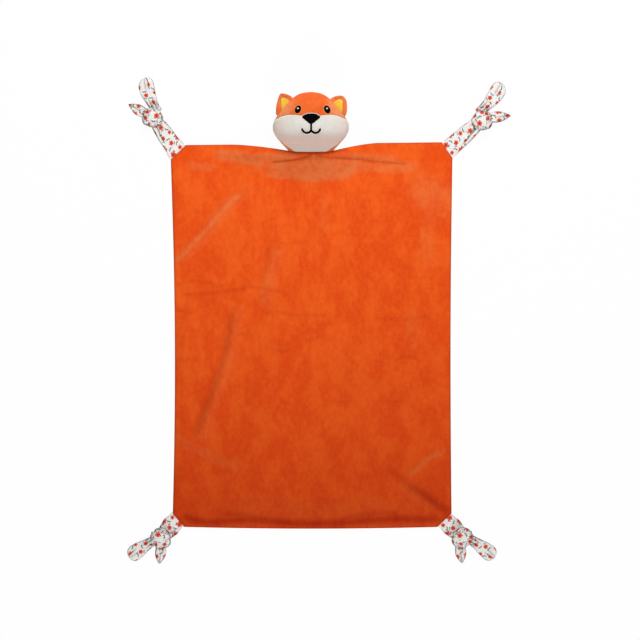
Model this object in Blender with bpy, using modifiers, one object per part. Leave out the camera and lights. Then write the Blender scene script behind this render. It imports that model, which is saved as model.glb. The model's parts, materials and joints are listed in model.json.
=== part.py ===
# Comfort blanket lovey: a two-layer plush blanket lying face up, with a stuffed fox head sewn to the
# middle of its top edge and a knotted tie of printed cotton sewn into each corner.
# Metres, +Z up. X runs across the blanket, +Y towards the head. The origin is on the surface that the
# blanket lies on, under the middle of the blanket. Left and right are as seen from above.

import math

import bmesh
import bpy
from mathutils import Matrix, Vector

# Clearance between two pieces that touch
CLEARANCE = 0.0003

# Edges bent further than this stay sharp
SHARP_ANGLE = math.radians(50)

# Blanket
BLANKET_WIDTH = 0.402
BLANKET_LENGTH = 0.549
FRONT_LAYER = 0.0024
BACK_LAYER = 0.0023
SEAM_TAPER = 0.005
SIDE_DRAW_IN = 0.0012
TOP_FLARE = 0.0014
TOP_EDGE_SLANT = 0.0022
BOTTOM_EDGE_SAG = 0.0015
# Thickness left at the sewn edge, as a share of each layer
EDGE_THICKNESS_SHARE = 0.35

# Neck seam, and the folds that spread from it
NECK_WIDTH = 0.048
NECK_OFFSET = -0.0010
NECK_LIFT = 0.0200
NECK_DIP = 0.0122
LEFT_DIP_REACH = 0.125
RIGHT_DIP_REACH = 0.095
DIP_STEEPNESS = 1.5
LIFT_REACH = 0.125
TENT_DEPTH = 0.060
CREASE_START = 0.0065
CREASE_DEPTH = 0.0026
CREASE_REACH = 0.120
# How fast the crease runs away from the edge, as a share of the distance from the middle
CREASE_SLOPE_SHARE = 0.20
# Columns and rows of the blanket's mesh, as shares of the half width and of the length below the folds
COLUMN_SHARES = (0.0, 0.08, 0.155, 0.235, 0.33, 0.44, 0.56, 0.70, 0.85)
FOLD_ROW_SHARES = (0.0, 0.55, 1.0)
ROWS_BELOW_CREASE = (0.006, 0.014, 0.026)
LOWER_ROW_SHARES = (0.07, 0.16, 0.27, 0.39, 0.52, 0.66, 0.81)

# Head
HEAD_WIDTH = 0.109
HEAD_HEIGHT = 0.0860
HEAD_DEPTH = 0.0665
NECK_THICKNESS = 0.008
SKIN = 0.0016
EMBROIDERY = 0.0009
HIGHLIGHT = 0.0005
# The head's outline from the neck to the crown. Each row is the height share, the half width share,
# the height share of the front surface, of the middle and of the back surface above the ground.
HEAD_SHARES = (
    (0.014, 0.430, 0.377, 0.338, 0.299),
    (0.047, 0.475, 0.398, 0.338, 0.278),
    (0.070, 0.580, 0.452, 0.342, 0.236),
    (0.094, 0.665, 0.510, 0.347, 0.190),
    (0.140, 0.765, 0.615, 0.362, 0.115),
    (0.202, 0.857, 0.740, 0.390, 0.048),
    (0.269, 0.935, 0.845, 0.420, 0.008),
    (0.337, 0.985, 0.915, 0.440, -0.018),
    (0.404, 1.000, 0.960, 0.450, -0.024),
    (0.472, 0.988, 0.990, 0.455, -0.024),
    (0.530, 0.950, 1.000, 0.460, -0.024),
    (0.590, 0.880, 0.985, 0.465, -0.020),
    (0.656, 0.800, 0.955, 0.470, -0.010),
    (0.724, 0.720, 0.905, 0.470, 0.020),
    (0.808, 0.615, 0.820, 0.465, 0.090),
    (0.880, 0.505, 0.720, 0.460, 0.180),
    (0.937, 0.385, 0.630, 0.455, 0.270),
    (0.980, 0.225, 0.540, 0.452, 0.365),
)
HEAD_SIDES = 28
# How square the cross-sections are: 2 gives an oval
SECTION_POWER = 2.15
FLAT_POWER = 3.2
KNOT_POWER = 2.3
LONG_END_POWER = 2.5

# Muzzle seam, as shares of the half width and of the head's height: two cheeks that dip at the nose
MUZZLE_SEAM_MIDDLE_SHARE = 0.575
MUZZLE_SEAM_SHARES = (
    (-1.30, 0.500), (-1.02, 0.520), (-0.90, 0.552), (-0.76, 0.590), (-0.58, 0.612), (-0.38, 0.606),
    (-0.18, 0.588), (0.0, MUZZLE_SEAM_MIDDLE_SHARE), (0.18, 0.588), (0.38, 0.606), (0.58, 0.612),
    (0.76, 0.590), (0.90, 0.552), (1.02, 0.520), (1.30, 0.500),
)
# Side seam between face and back: height above the ground as a share of the head's depth,
# at the neck and at the crown
SIDE_SEAM_NECK_SHARE = 0.350
SIDE_SEAM_CROWN_SHARE = 0.490

# Face embroidery. The rises are above the middle of the muzzle seam.
EYE_WIDTH = 0.0088
EYE_HEIGHT = 0.0112
EYE_SPACING = 0.0417
EYE_RISE = 0.01175
EYE_TILT = math.radians(25)
EYE_HIGHLIGHT_SIZE = 0.0029
EYE_HIGHLIGHT_RISE = 0.0016
EYE_STEPS = 18
EYE_HIGHLIGHT_STEPS = 10
NOSE_WIDTH = 0.0240
NOSE_HEIGHT = 0.0144
NOSE_RISE = 0.00535
NOSE_SHARES = (
    (0.0, 1.0), (-0.24, 0.985), (-0.44, 0.86), (-0.50, 0.70), (-0.42, 0.56), (-0.26, 0.30), (-0.12, 0.08),
    (0.0, 0.0), (0.12, 0.08), (0.26, 0.30), (0.42, 0.56), (0.50, 0.70), (0.44, 0.86), (0.24, 0.985),
)
MOUTH_LINE = 0.0023
MOUTH_WIDTH = 0.0272
PHILTRUM = 0.0100
SMILE_DROP = 0.0046
SMILE_RISE = 0.0016
SMILE_BOW_SHARE = 0.9
SMILE_ROUNDNESS = 0.8
SMILE_STEPS = 8

# Ears
EAR_THICKNESS = 0.0046
EAR_LINING = 0.0014
EAR_ROOT = 0.0040
EAR_BASE_SHARE = 0.95
EAR_BASE_OUTER_SHARE = 0.580
EAR_BASE_INNER_SHARE = 0.905
EAR_SIDES = 20
LINING_SIDES = 14
# Each ear's outline above its root: height share, then the outer and the inner edge as shares of the
# base's length, measured from its middle. The linings are given in the same way.
LEFT_EAR_HEIGHT = 0.0150
LEFT_EAR_SHARES = (
    (0.14, -0.40, 0.475), (0.32, -0.30, 0.465), (0.52, -0.18, 0.44), (0.72, -0.03, 0.395),
    (0.88, 0.11, 0.345), (0.97, 0.19, 0.305),
)
LEFT_LINING_HEIGHT = 0.0078
LEFT_LINING_SHARES = ((0.22, -0.15, 0.31), (0.45, -0.07, 0.32), (0.70, 0.03, 0.32), (0.92, 0.12, 0.29))
RIGHT_EAR_HEIGHT = 0.0132
RIGHT_EAR_SHARES = (
    (0.14, -0.45, 0.475), (0.32, -0.39, 0.465), (0.52, -0.31, 0.45), (0.72, -0.20, 0.42),
    (0.88, -0.09, 0.37), (0.97, 0.01, 0.31),
)
RIGHT_LINING_HEIGHT = 0.0080
RIGHT_LINING_SHARES = ((0.22, -0.20, 0.31), (0.45, -0.10, 0.32), (0.70, 0.01, 0.32), (0.92, 0.12, 0.28))

# Ties: a band from the corner seam to a knot, then a long padded end and a short pointed end
TIE_SEAM_INSET = 0.0008
TIE_WIDTH = 0.0250
TIE_GATHERED_WIDTH = 0.0215
TIE_THICKNESS = 0.0034
TIE_SEAM_ROLL = 0.0032
TIE_SEAM_FLAT = 0.0012
KNOT_LENGTH = 0.0300
KNOT_WIDTH = 0.0270
KNOT_THICKNESS = 0.0165
KNOT_WRAP_WIDTH = 0.0110
KNOT_WRAP_THICKNESS = 0.0044
KNOT_WRAP_TURN = math.radians(32)
KNOT_REACH = 0.0112
GROUND_FLAT = 0.0005
END_LEVEL = 0.0062
END_ROLL = 0.0040
LONG_END_NECK = 0.0150
LONG_END_WIDTH = 0.0225
LONG_END_THICKNESS = 0.0050
SHORT_END_WIDTH = 0.0160
SHORT_END_THICKNESS = 0.0044
# Rings of a sewn roll and of a knot, as shares of the radius and of the half length
ROLL_SHARES = (0.92, 0.65, 0.3, 0.0)
KNOT_SHARES = (-0.94, -0.78, -0.52, -0.2, 0.2, 0.52, 0.78, 0.94)
# Rows of the ends: length share, width and thickness. A long end's width goes from 0 at the neck's
# width to 1 at the full width, and a negative one takes that share off the full width.
LONG_END_SHARES = (
    (0.10, 0.05, 0.85), (0.24, 0.25, 0.95), (0.42, 0.65, 1.0), (0.60, 0.96, 1.0), (0.76, 1.0, 1.0),
    (0.88, -0.16, 0.85), (0.96, -0.46, 0.55),
)
SHORT_END_SHARES = (
    (0.12, 0.90, 0.9), (0.30, 1.0, 1.0), (0.50, 0.92, 1.0), (0.70, 0.66, 0.9), (0.86, 0.36, 0.7),
    (0.96, 0.14, 0.5),
)
SHORT_END_ROOT_SHARE = 0.80
BAND_SIDES = 16
KNOT_SIDES = 18
WRAP_SIDES = 8
WRAP_STEPS = 20
LONG_END_SIDES = 16
SHORT_END_SIDES = 12
# Rows of a band past its seam: length share, width share from the gathered to the full width, and
# thickness share
BAND_SHARES = ((0.15, 1.0, 0.75), (0.45, 1.0, 1.0), (0.80, 1.0, 1.0), (1.0, 0.0, 1.0))
# Share of an end's length along which it comes down to the ground
LONG_END_DROP_SHARE = 0.50
SHORT_END_DROP_SHARE = 0.67
# The side of the blanket's corner that each tie is on, in X and in Y
TIE_SIDES = {"top_left": (-1, 1), "top_right": (1, 1), "bottom_left": (-1, -1), "bottom_right": (1, -1)}
# Each tie: how far its corner is cut back in X and in Y, the band's length from the seam to the middle
# of the knot, how far from that middle each end's root is, and the length of each end
TIE_SIZES = {
    "top_left": {
        "cut": (0.0222, 0.0214), "band": 0.0599,
        "long_end": (0.0150, 0.0445), "short_end": (0.0133, 0.0270)},
    "top_right": {
        "cut": (0.0160, 0.0234), "band": 0.0634,
        "long_end": (0.0158, 0.0465), "short_end": (0.0133, 0.0300)},
    "bottom_left": {
        "cut": (0.0182, 0.0208), "band": 0.0339,
        "long_end": (0.0143, 0.0395), "short_end": (0.0143, 0.0240)},
    "bottom_right": {
        "cut": (0.0200, 0.0194), "band": 0.0340,
        "long_end": (0.0143, 0.0405), "short_end": (0.0146, 0.0240)},
}
# Directions of each tie in degrees from +X: the band, then for each end the direction of its root from
# the knot's middle, its own direction, and how far it curves
TIE_DEGREES = {
    "top_left": {"band": 125.0, "long_end": (82.0, 108.0, -13.0), "short_end": (155.0, 150.0, 0.0)},
    "top_right": {"band": 41.3, "long_end": (83.0, 54.0, 12.0), "short_end": (17.0, 6.0, 0.0)},
    "bottom_left": {"band": 226.9, "long_end": (205.0, 215.0, 5.0), "short_end": (274.0, 263.5, 0.0)},
    "bottom_right": {"band": 316.5, "long_end": (340.0, 323.0, -4.0), "short_end": (254.0, 277.0, 0.0)},
}

# Colour, roughness and metallic value of each finish
FINISHES = {
    "orange_plush": ((0.830, 0.090, 0.012, 1.0), 0.95, 0.0),
    "head_plush": ((0.940, 0.170, 0.035, 1.0), 0.95, 0.0),
    "white_plush": ((0.720, 0.655, 0.590, 1.0), 0.95, 0.0),
    "yellow_plush": ((0.930, 0.520, 0.050, 1.0), 0.90, 0.0),
    "black_embroidery": ((0.008, 0.007, 0.009, 1.0), 0.50, 0.0),
    "white_embroidery": ((0.860, 0.860, 0.880, 1.0), 0.45, 0.0),
    "printed_cotton": ((0.800, 0.790, 0.740, 1.0), 0.85, 0.0),
    "polyester_fibre": ((0.850, 0.850, 0.830, 1.0), 1.00, 0.0),
}

HALF_WIDTH = BLANKET_WIDTH / 2
HALF_LENGTH = BLANKET_LENGTH / 2
MIDDLE_LEVEL = BACK_LAYER + CLEARANCE / 2
NECK_RADIUS = NECK_THICKNESS / 2
NECK_ALONG = HALF_LENGTH - NECK_DIP + CLEARANCE + NECK_RADIUS
NECK_AXIS = Vector((NECK_OFFSET, NECK_ALONG, MIDDLE_LEVEL + NECK_LIFT))
# Levels on the face, measured from the neck's axis
MUZZLE_SEAM_LEVEL = HEAD_HEIGHT * MUZZLE_SEAM_MIDDLE_SHARE - NECK_RADIUS
EYE_LEVEL = MUZZLE_SEAM_LEVEL + EYE_RISE
NOSE_BOTTOM = MUZZLE_SEAM_LEVEL + NOSE_RISE - NOSE_HEIGHT


def clear_scene():
    for obj in list(bpy.data.objects):
        bpy.data.objects.remove(obj, do_unlink=True)


def make_collection(name):
    collection = bpy.data.collections.new(name)
    bpy.context.scene.collection.children.link(collection)
    return collection


def make_finish(name):
    colour, roughness, metallic = FINISHES[name]
    material = bpy.data.materials.new(name)
    material.use_nodes = True
    shader = material.node_tree.nodes["Principled BSDF"]
    shader.inputs["Base Color"].default_value = colour
    shader.inputs["Roughness"].default_value = roughness
    shader.inputs["Metallic"].default_value = metallic
    material.diffuse_color = colour
    return material


def make_object(name, bm, finish, parent=None):
    bmesh.ops.recalc_face_normals(bm, faces=bm.faces)
    mesh = bpy.data.meshes.new(name)
    bm.to_mesh(mesh)
    bm.free()
    mesh.shade_smooth()
    mesh.set_sharp_from_angle(angle=SHARP_ANGLE)
    obj = bpy.data.objects.new(name, mesh)
    obj.data.materials.append(MATERIALS[finish])
    obj.parent = parent
    PARTS.objects.link(obj)
    return obj


def make_cutter(name, bm, parent=None):
    bmesh.ops.recalc_face_normals(bm, faces=bm.faces)
    mesh = bpy.data.meshes.new(name)
    bm.to_mesh(mesh)
    bm.free()
    obj = bpy.data.objects.new(name, mesh)
    obj.parent = parent
    obj.hide_render = True
    obj.display_type = "WIRE"
    CUTTERS.objects.link(obj)
    return obj


def make_axis(name, place, turn, parent=None):
    # An empty on a joint's axis: the axis is its X, and the moving piece leads away along its Y
    empty = bpy.data.objects.new(name, None)
    empty.empty_display_size = NECK_THICKNESS
    empty.location = place
    empty.rotation_euler = (0.0, 0.0, turn)
    empty.parent = parent
    PARTS.objects.link(empty)
    return empty


def keep_inside(obj, cutter):
    boolean = obj.modifiers.new("inside_" + cutter.name, "BOOLEAN")
    boolean.operation = "INTERSECT"
    boolean.object = cutter


def give_thickness(obj, thickness, outward):
    solidify = obj.modifiers.new("thickness", "SOLIDIFY")
    solidify.thickness = thickness
    solidify.offset = 1.0 if outward else -1.0
    solidify.use_rim = True
    return solidify


def fade(distance, start, end):
    # One up to the start, none past the end, and smooth between them
    share = min(max((distance - start) / (end - start), 0.0), 1.0)
    return 1.0 - share * share * (3.0 - 2.0 * share)


def power_of(value, power):
    return math.copysign(abs(value) ** (2.0 / power), value)


def swollen_form(stations, first_end, last_end, sides, power):
    # A sphere whose rings become the stations along Y. A station is its place along Y, its middle in
    # X, its half width, its middle in Z, and its height above and below that middle.
    bm = bmesh.new()
    rings = len(stations) + 1
    bmesh.ops.create_uvsphere(bm, u_segments=sides, v_segments=rings, radius=1.0)
    for vert in bm.verts:
        ring = round(math.acos(min(max(vert.co.z, -1.0), 1.0)) * rings / math.pi)
        if ring == 0:
            vert.co = first_end
        elif ring == rings:
            vert.co = last_end
        else:
            along, side, half_width, middle, above, below = stations[ring - 1]
            angle = math.atan2(vert.co.y, vert.co.x)
            rise = power_of(math.sin(angle), power)
            height = above if rise > 0 else below
            vert.co = (side + half_width * power_of(math.cos(angle), power), along, middle + height * rise)
    bm.normal_update()
    bmesh.ops.recalc_face_normals(bm, faces=bm.faces)
    return bm


def block(low, high):
    bm = bmesh.new()
    bmesh.ops.create_cube(bm, size=1.0)
    size = Vector(high) - Vector(low)
    middle = (Vector(high) + Vector(low)) / 2
    for vert in bm.verts:
        vert.co = Vector(a * b for a, b in zip(vert.co, size)) + middle
    return bm


def outline_block(points, low, high):
    # A flat outline in XY, raised from one level to the other
    bm = bmesh.new()
    outline = bmesh.ops.create_circle(bm, cap_ends=True, segments=len(points), radius=1.0)
    for vert, (x, y) in zip(outline["verts"], points):
        vert.co = (x, y, low)
    raised = bmesh.ops.extrude_face_region(bm, geom=bm.faces[:])
    top = [item for item in raised["geom"] if isinstance(item, bmesh.types.BMVert)]
    bmesh.ops.translate(bm, verts=top, vec=(0.0, 0.0, high - low))
    return bm


def top_edge(x):
    # The edge dips to the neck seam, straight along the seam and steeply beside it
    reach = LEFT_DIP_REACH if x < 0 else RIGHT_DIP_REACH
    outside = min(max((abs(x) - NECK_WIDTH / 2) / (reach - NECK_WIDTH / 2), 0.0), 1.0)
    dip = (1.0 - outside) ** DIP_STEEPNESS
    slant = TOP_EDGE_SLANT * x / HALF_WIDTH
    return HALF_LENGTH + slant * (1.0 - dip) - NECK_DIP * dip


def bottom_edge(x):
    return -HALF_LENGTH - BOTTOM_EDGE_SAG * (1.0 - (x / HALF_WIDTH) ** 2)


def crease_distance(x):
    return CREASE_START + CREASE_SLOPE_SHARE * min(abs(x), CREASE_REACH)


def fold_height(x, below_edge):
    # The neck holds the edge up, and the cloth comes down from there in a tent with a crease
    raised = NECK_LIFT * fade(abs(x), NECK_WIDTH / 2, LIFT_REACH) * fade(below_edge, 0.0, TENT_DEPTH)
    from_crease = abs(below_edge - crease_distance(x)) / CREASE_START
    crease = CREASE_DEPTH * fade(from_crease, 0.0, 1.0) * fade(abs(x), 0.0, CREASE_REACH)
    return max(raised - min(crease, raised), 0.0)


def blanket_surface():
    # The sheet that the two layers are sewn on either side of
    half_columns = [share * HALF_WIDTH for share in COLUMN_SHARES] + [HALF_WIDTH - SEAM_TAPER, HALF_WIDTH]
    columns = [-x for x in reversed(half_columns[1:])] + half_columns
    row_count = len(FOLD_ROW_SHARES) + len(ROWS_BELOW_CREASE) + len(LOWER_ROW_SHARES) + 2
    bm = bmesh.new()
    bmesh.ops.create_grid(bm, x_segments=len(columns) - 1, y_segments=row_count - 1, size=1.0)
    for vert in bm.verts:
        column = round((vert.co.x + 1.0) / 2 * (len(columns) - 1))
        row = round((1.0 - vert.co.y) / 2 * (row_count - 1))
        x = columns[column]
        crease = crease_distance(x)
        last_fold = crease + ROWS_BELOW_CREASE[-1]
        lowest = top_edge(x) - bottom_edge(x)
        distances = [crease * share for share in FOLD_ROW_SHARES]
        distances += [crease + step for step in ROWS_BELOW_CREASE]
        distances += [last_fold + (lowest - last_fold) * share for share in LOWER_ROW_SHARES]
        distances += [lowest - SEAM_TAPER, lowest]
        below_edge = distances[row]
        vert.co = (x * side_flare(below_edge / lowest), top_edge(x) - below_edge,
                   MIDDLE_LEVEL + fold_height(x, below_edge))
    for name, side in TIE_SIDES.items():
        place, normal, _ = corner_seam(side, TIE_SIZES[name]["cut"])
        for inset in (SEAM_TAPER, 0.0):
            bmesh.ops.bisect_plane(
                bm, geom=bm.verts[:] + bm.edges[:] + bm.faces[:], dist=CLEARANCE / 100,
                plane_co=place - normal * inset, plane_no=normal, clear_outer=inset == 0.0)
    bmesh.ops.triangulate(bm, faces=[face for face in bm.faces if len(face.verts) > 4])
    bmesh.ops.recalc_face_normals(bm, faces=bm.faces)
    if sum(face.normal.z for face in bm.faces) < 0:
        bmesh.ops.reverse_faces(bm, faces=bm.faces)
    return bm


def side_flare(down):
    # The sides draw in a little along the middle, and spread towards the top
    spread = TOP_FLARE * (1.0 - down) ** 2 - SIDE_DRAW_IN * math.sin(math.pi * down)
    return 1.0 + spread / HALF_WIDTH


def corner_seam(side, cut):
    # Middle, outward direction and length of the slanted edge that a tie is sewn to
    side_x, side_y = side
    half_width = HALF_WIDTH * side_flare(0.0 if side_y > 0 else 1.0)
    corner_y = top_edge(side_x * HALF_WIDTH) if side_y > 0 else bottom_edge(side_x * HALF_WIDTH)
    cut_x, cut_y = cut
    middle = Vector((side_x * (half_width - cut_x / 2), corner_y - side_y * cut_y / 2, MIDDLE_LEVEL))
    outward = Vector((side_x * cut_y, side_y * cut_x, 0.0)).normalized()
    return middle, outward, math.hypot(cut_x, cut_y)


def make_blanket_layer(name, thickness, outward):
    bm = blanket_surface()
    bmesh.ops.translate(bm, verts=bm.verts, vec=(0.0, 0.0, CLEARANCE / 2 if outward else -CLEARANCE / 2))
    rim = [vert.index for vert in bm.verts if vert.is_boundary]
    mesh = bpy.data.meshes.new(name)
    bm.to_mesh(mesh)
    bm.free()
    mesh.shade_smooth()
    obj = bpy.data.objects.new(name, mesh)
    obj.data.materials.append(MATERIALS["orange_plush"])
    PARTS.objects.link(obj)
    group = obj.vertex_groups.new(name="inside_the_seam")
    group.add([vert.index for vert in mesh.vertices], 1.0, "REPLACE")
    group.add(rim, 0.0, "REPLACE")
    solidify = give_thickness(obj, thickness, outward)
    solidify.vertex_group = group.name
    solidify.thickness_vertex_group = EDGE_THICKNESS_SHARE
    return obj


def head_stations():
    # Stations from the neck to the crown, measured from the neck's axis
    stations = []
    for along, half_width, front, middle, back in HEAD_SHARES:
        centre = HEAD_DEPTH * middle - NECK_AXIS.z
        above = HEAD_DEPTH * (front - middle)
        below = HEAD_DEPTH * (middle - back)
        half = HEAD_WIDTH / 2 * half_width
        stations.append((HEAD_HEIGHT * along - NECK_RADIUS, 0.0, half, centre, above, below))
    return stations


def head_form(swell):
    # The head's outer surface, moved out or in, flat where it lies on the ground
    stations = head_stations()
    first_end = Vector((0.0, -NECK_RADIUS, stations[0][3]))
    last_end = Vector((0.0, HEAD_HEIGHT - NECK_RADIUS, stations[-1][3]))
    bm = swollen_form(stations, first_end, last_end, HEAD_SIDES, SECTION_POWER)
    ground = -NECK_AXIS.z
    for vert in bm.verts:
        vert.co.z = max(vert.co.z, ground)
    bm.normal_update()
    moved = [vert.co + vert.normal * swell for vert in bm.verts]
    for vert, place in zip(bm.verts, moved):
        vert.co = place
    return bm


def head_region(name, seam_points, upward, parent):
    # Everything above or below a seam line in XY, and in front of the side seam
    low_y = -HEAD_HEIGHT
    high_y = 2 * HEAD_HEIGHT
    half_gap = CLEARANCE / 2
    far_y = high_y if upward else low_y
    shift = half_gap if upward else -half_gap
    points = [(x, y + shift) for x, y in seam_points]
    points += [(points[-1][0], far_y), (points[0][0], far_y)]
    bm = outline_block(points, -HEAD_DEPTH, 2 * HEAD_DEPTH)
    side_normal, side_place = side_seam_plane()
    cut = bmesh.ops.bisect_plane(
        bm, geom=bm.verts[:] + bm.edges[:] + bm.faces[:], dist=CLEARANCE / 100,
        plane_co=side_place + side_normal * half_gap, plane_no=side_normal, clear_inner=True)
    edges = [item for item in cut["geom_cut"] if isinstance(item, bmesh.types.BMEdge)]
    bmesh.ops.edgeloop_fill(bm, edges=edges)
    return make_cutter(name, bm, parent)


def side_seam_plane():
    low = Vector((0.0, -NECK_RADIUS, HEAD_DEPTH * SIDE_SEAM_NECK_SHARE - NECK_AXIS.z))
    high = Vector((0.0, HEAD_HEIGHT - NECK_RADIUS, HEAD_DEPTH * SIDE_SEAM_CROWN_SHARE - NECK_AXIS.z))
    run = (high - low).normalized()
    return Vector((0.0, -run.z, run.y)), low


def head_back_region(parent):
    side_normal, side_place = side_seam_plane()
    bm = block((-HEAD_WIDTH, -HEAD_HEIGHT, -2 * HEAD_DEPTH), (HEAD_WIDTH, 2 * HEAD_HEIGHT, 2 * HEAD_DEPTH))
    cut = bmesh.ops.bisect_plane(
        bm, geom=bm.verts[:] + bm.edges[:] + bm.faces[:], dist=CLEARANCE / 100,
        plane_co=side_place - side_normal * CLEARANCE / 2, plane_no=side_normal, clear_outer=True)
    edges = [item for item in cut["geom_cut"] if isinstance(item, bmesh.types.BMEdge)]
    bmesh.ops.edgeloop_fill(bm, edges=edges)
    return make_cutter("head_back_region", bm, parent)


def make_head(hinge):
    seam = [(x * HEAD_WIDTH / 2, y * HEAD_HEIGHT - NECK_RADIUS) for x, y in MUZZLE_SEAM_SHARES]
    crown_region = head_region("head_crown_region", seam, True, hinge)
    muzzle_region = head_region("muzzle_region", seam, False, hinge)
    panels = (
        ("head_crown_panel", "head_plush", crown_region),
        ("muzzle_panel", "white_plush", muzzle_region),
        ("head_back_panel", "head_plush", head_back_region(hinge)),
    )
    for name, finish, region in panels:
        panel = make_object(name, head_form(0.0), finish, hinge)
        give_thickness(panel, SKIN, False)
        keep_inside(panel, region)
    make_object("head_stuffing", head_form(-SKIN - CLEARANCE), "polyester_fibre", hinge)


def ellipse(width, height, turn, centre, steps):
    points = []
    for step in range(steps):
        angle = 2 * math.pi * step / steps
        point = Vector((width / 2 * math.cos(angle), height / 2 * math.sin(angle)))
        point.rotate(Matrix.Rotation(turn, 2))
        points.append(tuple(point + Vector(centre)))
    return points


def embroider(name, finish, outline, lift, thickness, hinge):
    # A thin patch that follows the face, at a height above its surface
    patch = make_object(name, head_form(lift), finish, hinge)
    give_thickness(patch, thickness, True)
    cutter = make_cutter(name + "_outline", outline_block(outline, HEAD_DEPTH / 8, HEAD_DEPTH), hinge)
    keep_inside(patch, cutter)


def mouth_outline():
    # A line down from the nose that parts into two arcs
    fork = NOSE_BOTTOM - PHILTRUM
    half_line = MOUTH_LINE / 2
    arc = []
    for step in range(SMILE_STEPS + 1):
        share = step / SMILE_STEPS
        x = MOUTH_WIDTH / 2 * share
        bow = math.sin(math.pi * min(share / SMILE_BOW_SHARE, 1.0))
        drop = SMILE_DROP * max(bow, 0.0) ** SMILE_ROUNDNESS
        arc.append(Vector((x, fork - drop + SMILE_RISE * share * share)))
    upper = [point + Vector((0.0, half_line)) for point in arc]
    lower = [point - Vector((0.0, half_line)) for point in arc]
    right_upper = [(half_line, NOSE_BOTTOM - CLEARANCE)]
    right_upper += [tuple(point) for point in upper if point.x > half_line]
    right_lower = [tuple(point) for point in reversed(lower)]
    right = right_upper + right_lower
    left = [(-x, y) for x, y in reversed(right) if x > 0]
    return right + left


def make_face(hinge):
    first = CLEARANCE
    second = CLEARANCE + EMBROIDERY + CLEARANCE
    for side, name in ((-1, "left"), (1, "right")):
        centre = (side * EYE_SPACING / 2, EYE_LEVEL)
        eye = ellipse(EYE_WIDTH, EYE_HEIGHT, side * EYE_TILT, centre, EYE_STEPS)
        embroider(name + "_eye", "black_embroidery", eye, first, EMBROIDERY, hinge)
        glint_centre = (centre[0], centre[1] + EYE_HIGHLIGHT_RISE)
        size = EYE_HIGHLIGHT_SIZE
        glint = ellipse(size, size, 0.0, glint_centre, EYE_HIGHLIGHT_STEPS)
        embroider(name + "_eye_highlight", "white_embroidery", glint, second, HIGHLIGHT, hinge)
    nose = [(x * NOSE_WIDTH, NOSE_BOTTOM + y * NOSE_HEIGHT) for x, y in NOSE_SHARES]
    embroider("nose", "black_embroidery", nose, first, EMBROIDERY, hinge)
    embroider("mouth_stitching", "black_embroidery", mouth_outline(), first, EMBROIDERY, hinge)


def head_half_width(along):
    # Half width of the head's outline at a height above the neck's axis
    stations = head_stations()
    for lower, upper in zip(stations, stations[1:]):
        if lower[0] <= along <= upper[0]:
            share = (along - lower[0]) / (upper[0] - lower[0])
            return lower[2] + (upper[2] - lower[2]) * share
    return 0.0


def ear_axis(side):
    # The ear is sewn into the side seam along a line just clear of the head's bulge
    outer_along = HEAD_HEIGHT * EAR_BASE_OUTER_SHARE - NECK_RADIUS
    inner_along = HEAD_HEIGHT * EAR_BASE_INNER_SHARE - NECK_RADIUS
    outer = Vector((head_half_width(outer_along), outer_along))
    inner = Vector((head_half_width(inner_along), inner_along))
    run = (outer - inner).normalized()
    away = Vector((-run.y, run.x))
    bulge = 0.0
    for along, _, half_width, _, _, _ in head_stations():
        if inner_along >= along >= outer_along:
            bulge = max(bulge, (Vector((half_width, along)) - inner).dot(away))
    middle = (outer + inner) / 2 + away * (bulge + EAR_ROOT / 2 + CLEARANCE)
    level = HEAD_DEPTH * SIDE_SEAM_CROWN_SHARE - NECK_AXIS.z
    place = Vector((side * middle.x, middle.y, level))
    turn = math.atan2(away.x, away.y)
    return place, -side * turn, (outer - inner).length


def ear_rows(shares, side, base, height, start, half):
    # Stations of an ear layer: the outer end of the base is at +X of a right ear's axis
    rows = []
    for share, outer, inner in shares:
        middle = -side * base * (outer + inner) / 2
        along = start + (height - start) * share
        rows.append((along, middle, base * (inner - outer) / 2, 0.0, half, half))
    return rows


def make_ear(name, side, sizes, hinge):
    height, outline, lining_height, lining_outline = sizes
    place, turn, base = ear_axis(side)
    root = make_axis(name + "_hinge", place, turn, hinge)
    radius = EAR_ROOT / 2
    half = EAR_THICKNESS / 2
    base_half = base / 2 * EAR_BASE_SHARE
    stations = roll_stations(radius, base_half) + ear_rows(outline, side, base, height, 0.0, half)
    tip = Vector((stations[-1][1], height, 0.0))
    back = swollen_form(stations, Vector((0.0, -radius, 0.0)), tip, EAR_SIDES, FLAT_POWER)
    make_object(name + "_back", back, "head_plush", root)
    thin = EAR_LINING / 2
    rows = ear_rows(lining_outline, side, base, lining_height, 0.0, thin)
    first = Vector((rows[0][1], rows[0][0] - EAR_LINING, 0.0))
    last = Vector((rows[-1][1], lining_height, 0.0))
    lining = swollen_form(rows, first, last, LINING_SIDES, FLAT_POWER)
    bmesh.ops.translate(lining, verts=lining.verts, vec=(0.0, 0.0, half + CLEARANCE + thin))
    make_object(name + "_lining", lining, "yellow_plush", root)


def heading(degrees):
    angle = math.radians(degrees)
    return Vector((math.cos(angle), math.sin(angle), 0.0))


def roll_stations(radius, half_width):
    # The rounded edge of a sewn root, whose axis is at zero
    stations = []
    for share in ROLL_SHARES:
        rise = radius * math.sqrt(1 - share * share)
        stations.append((-radius * share, 0.0, half_width, 0.0, rise, rise))
    return stations


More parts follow.
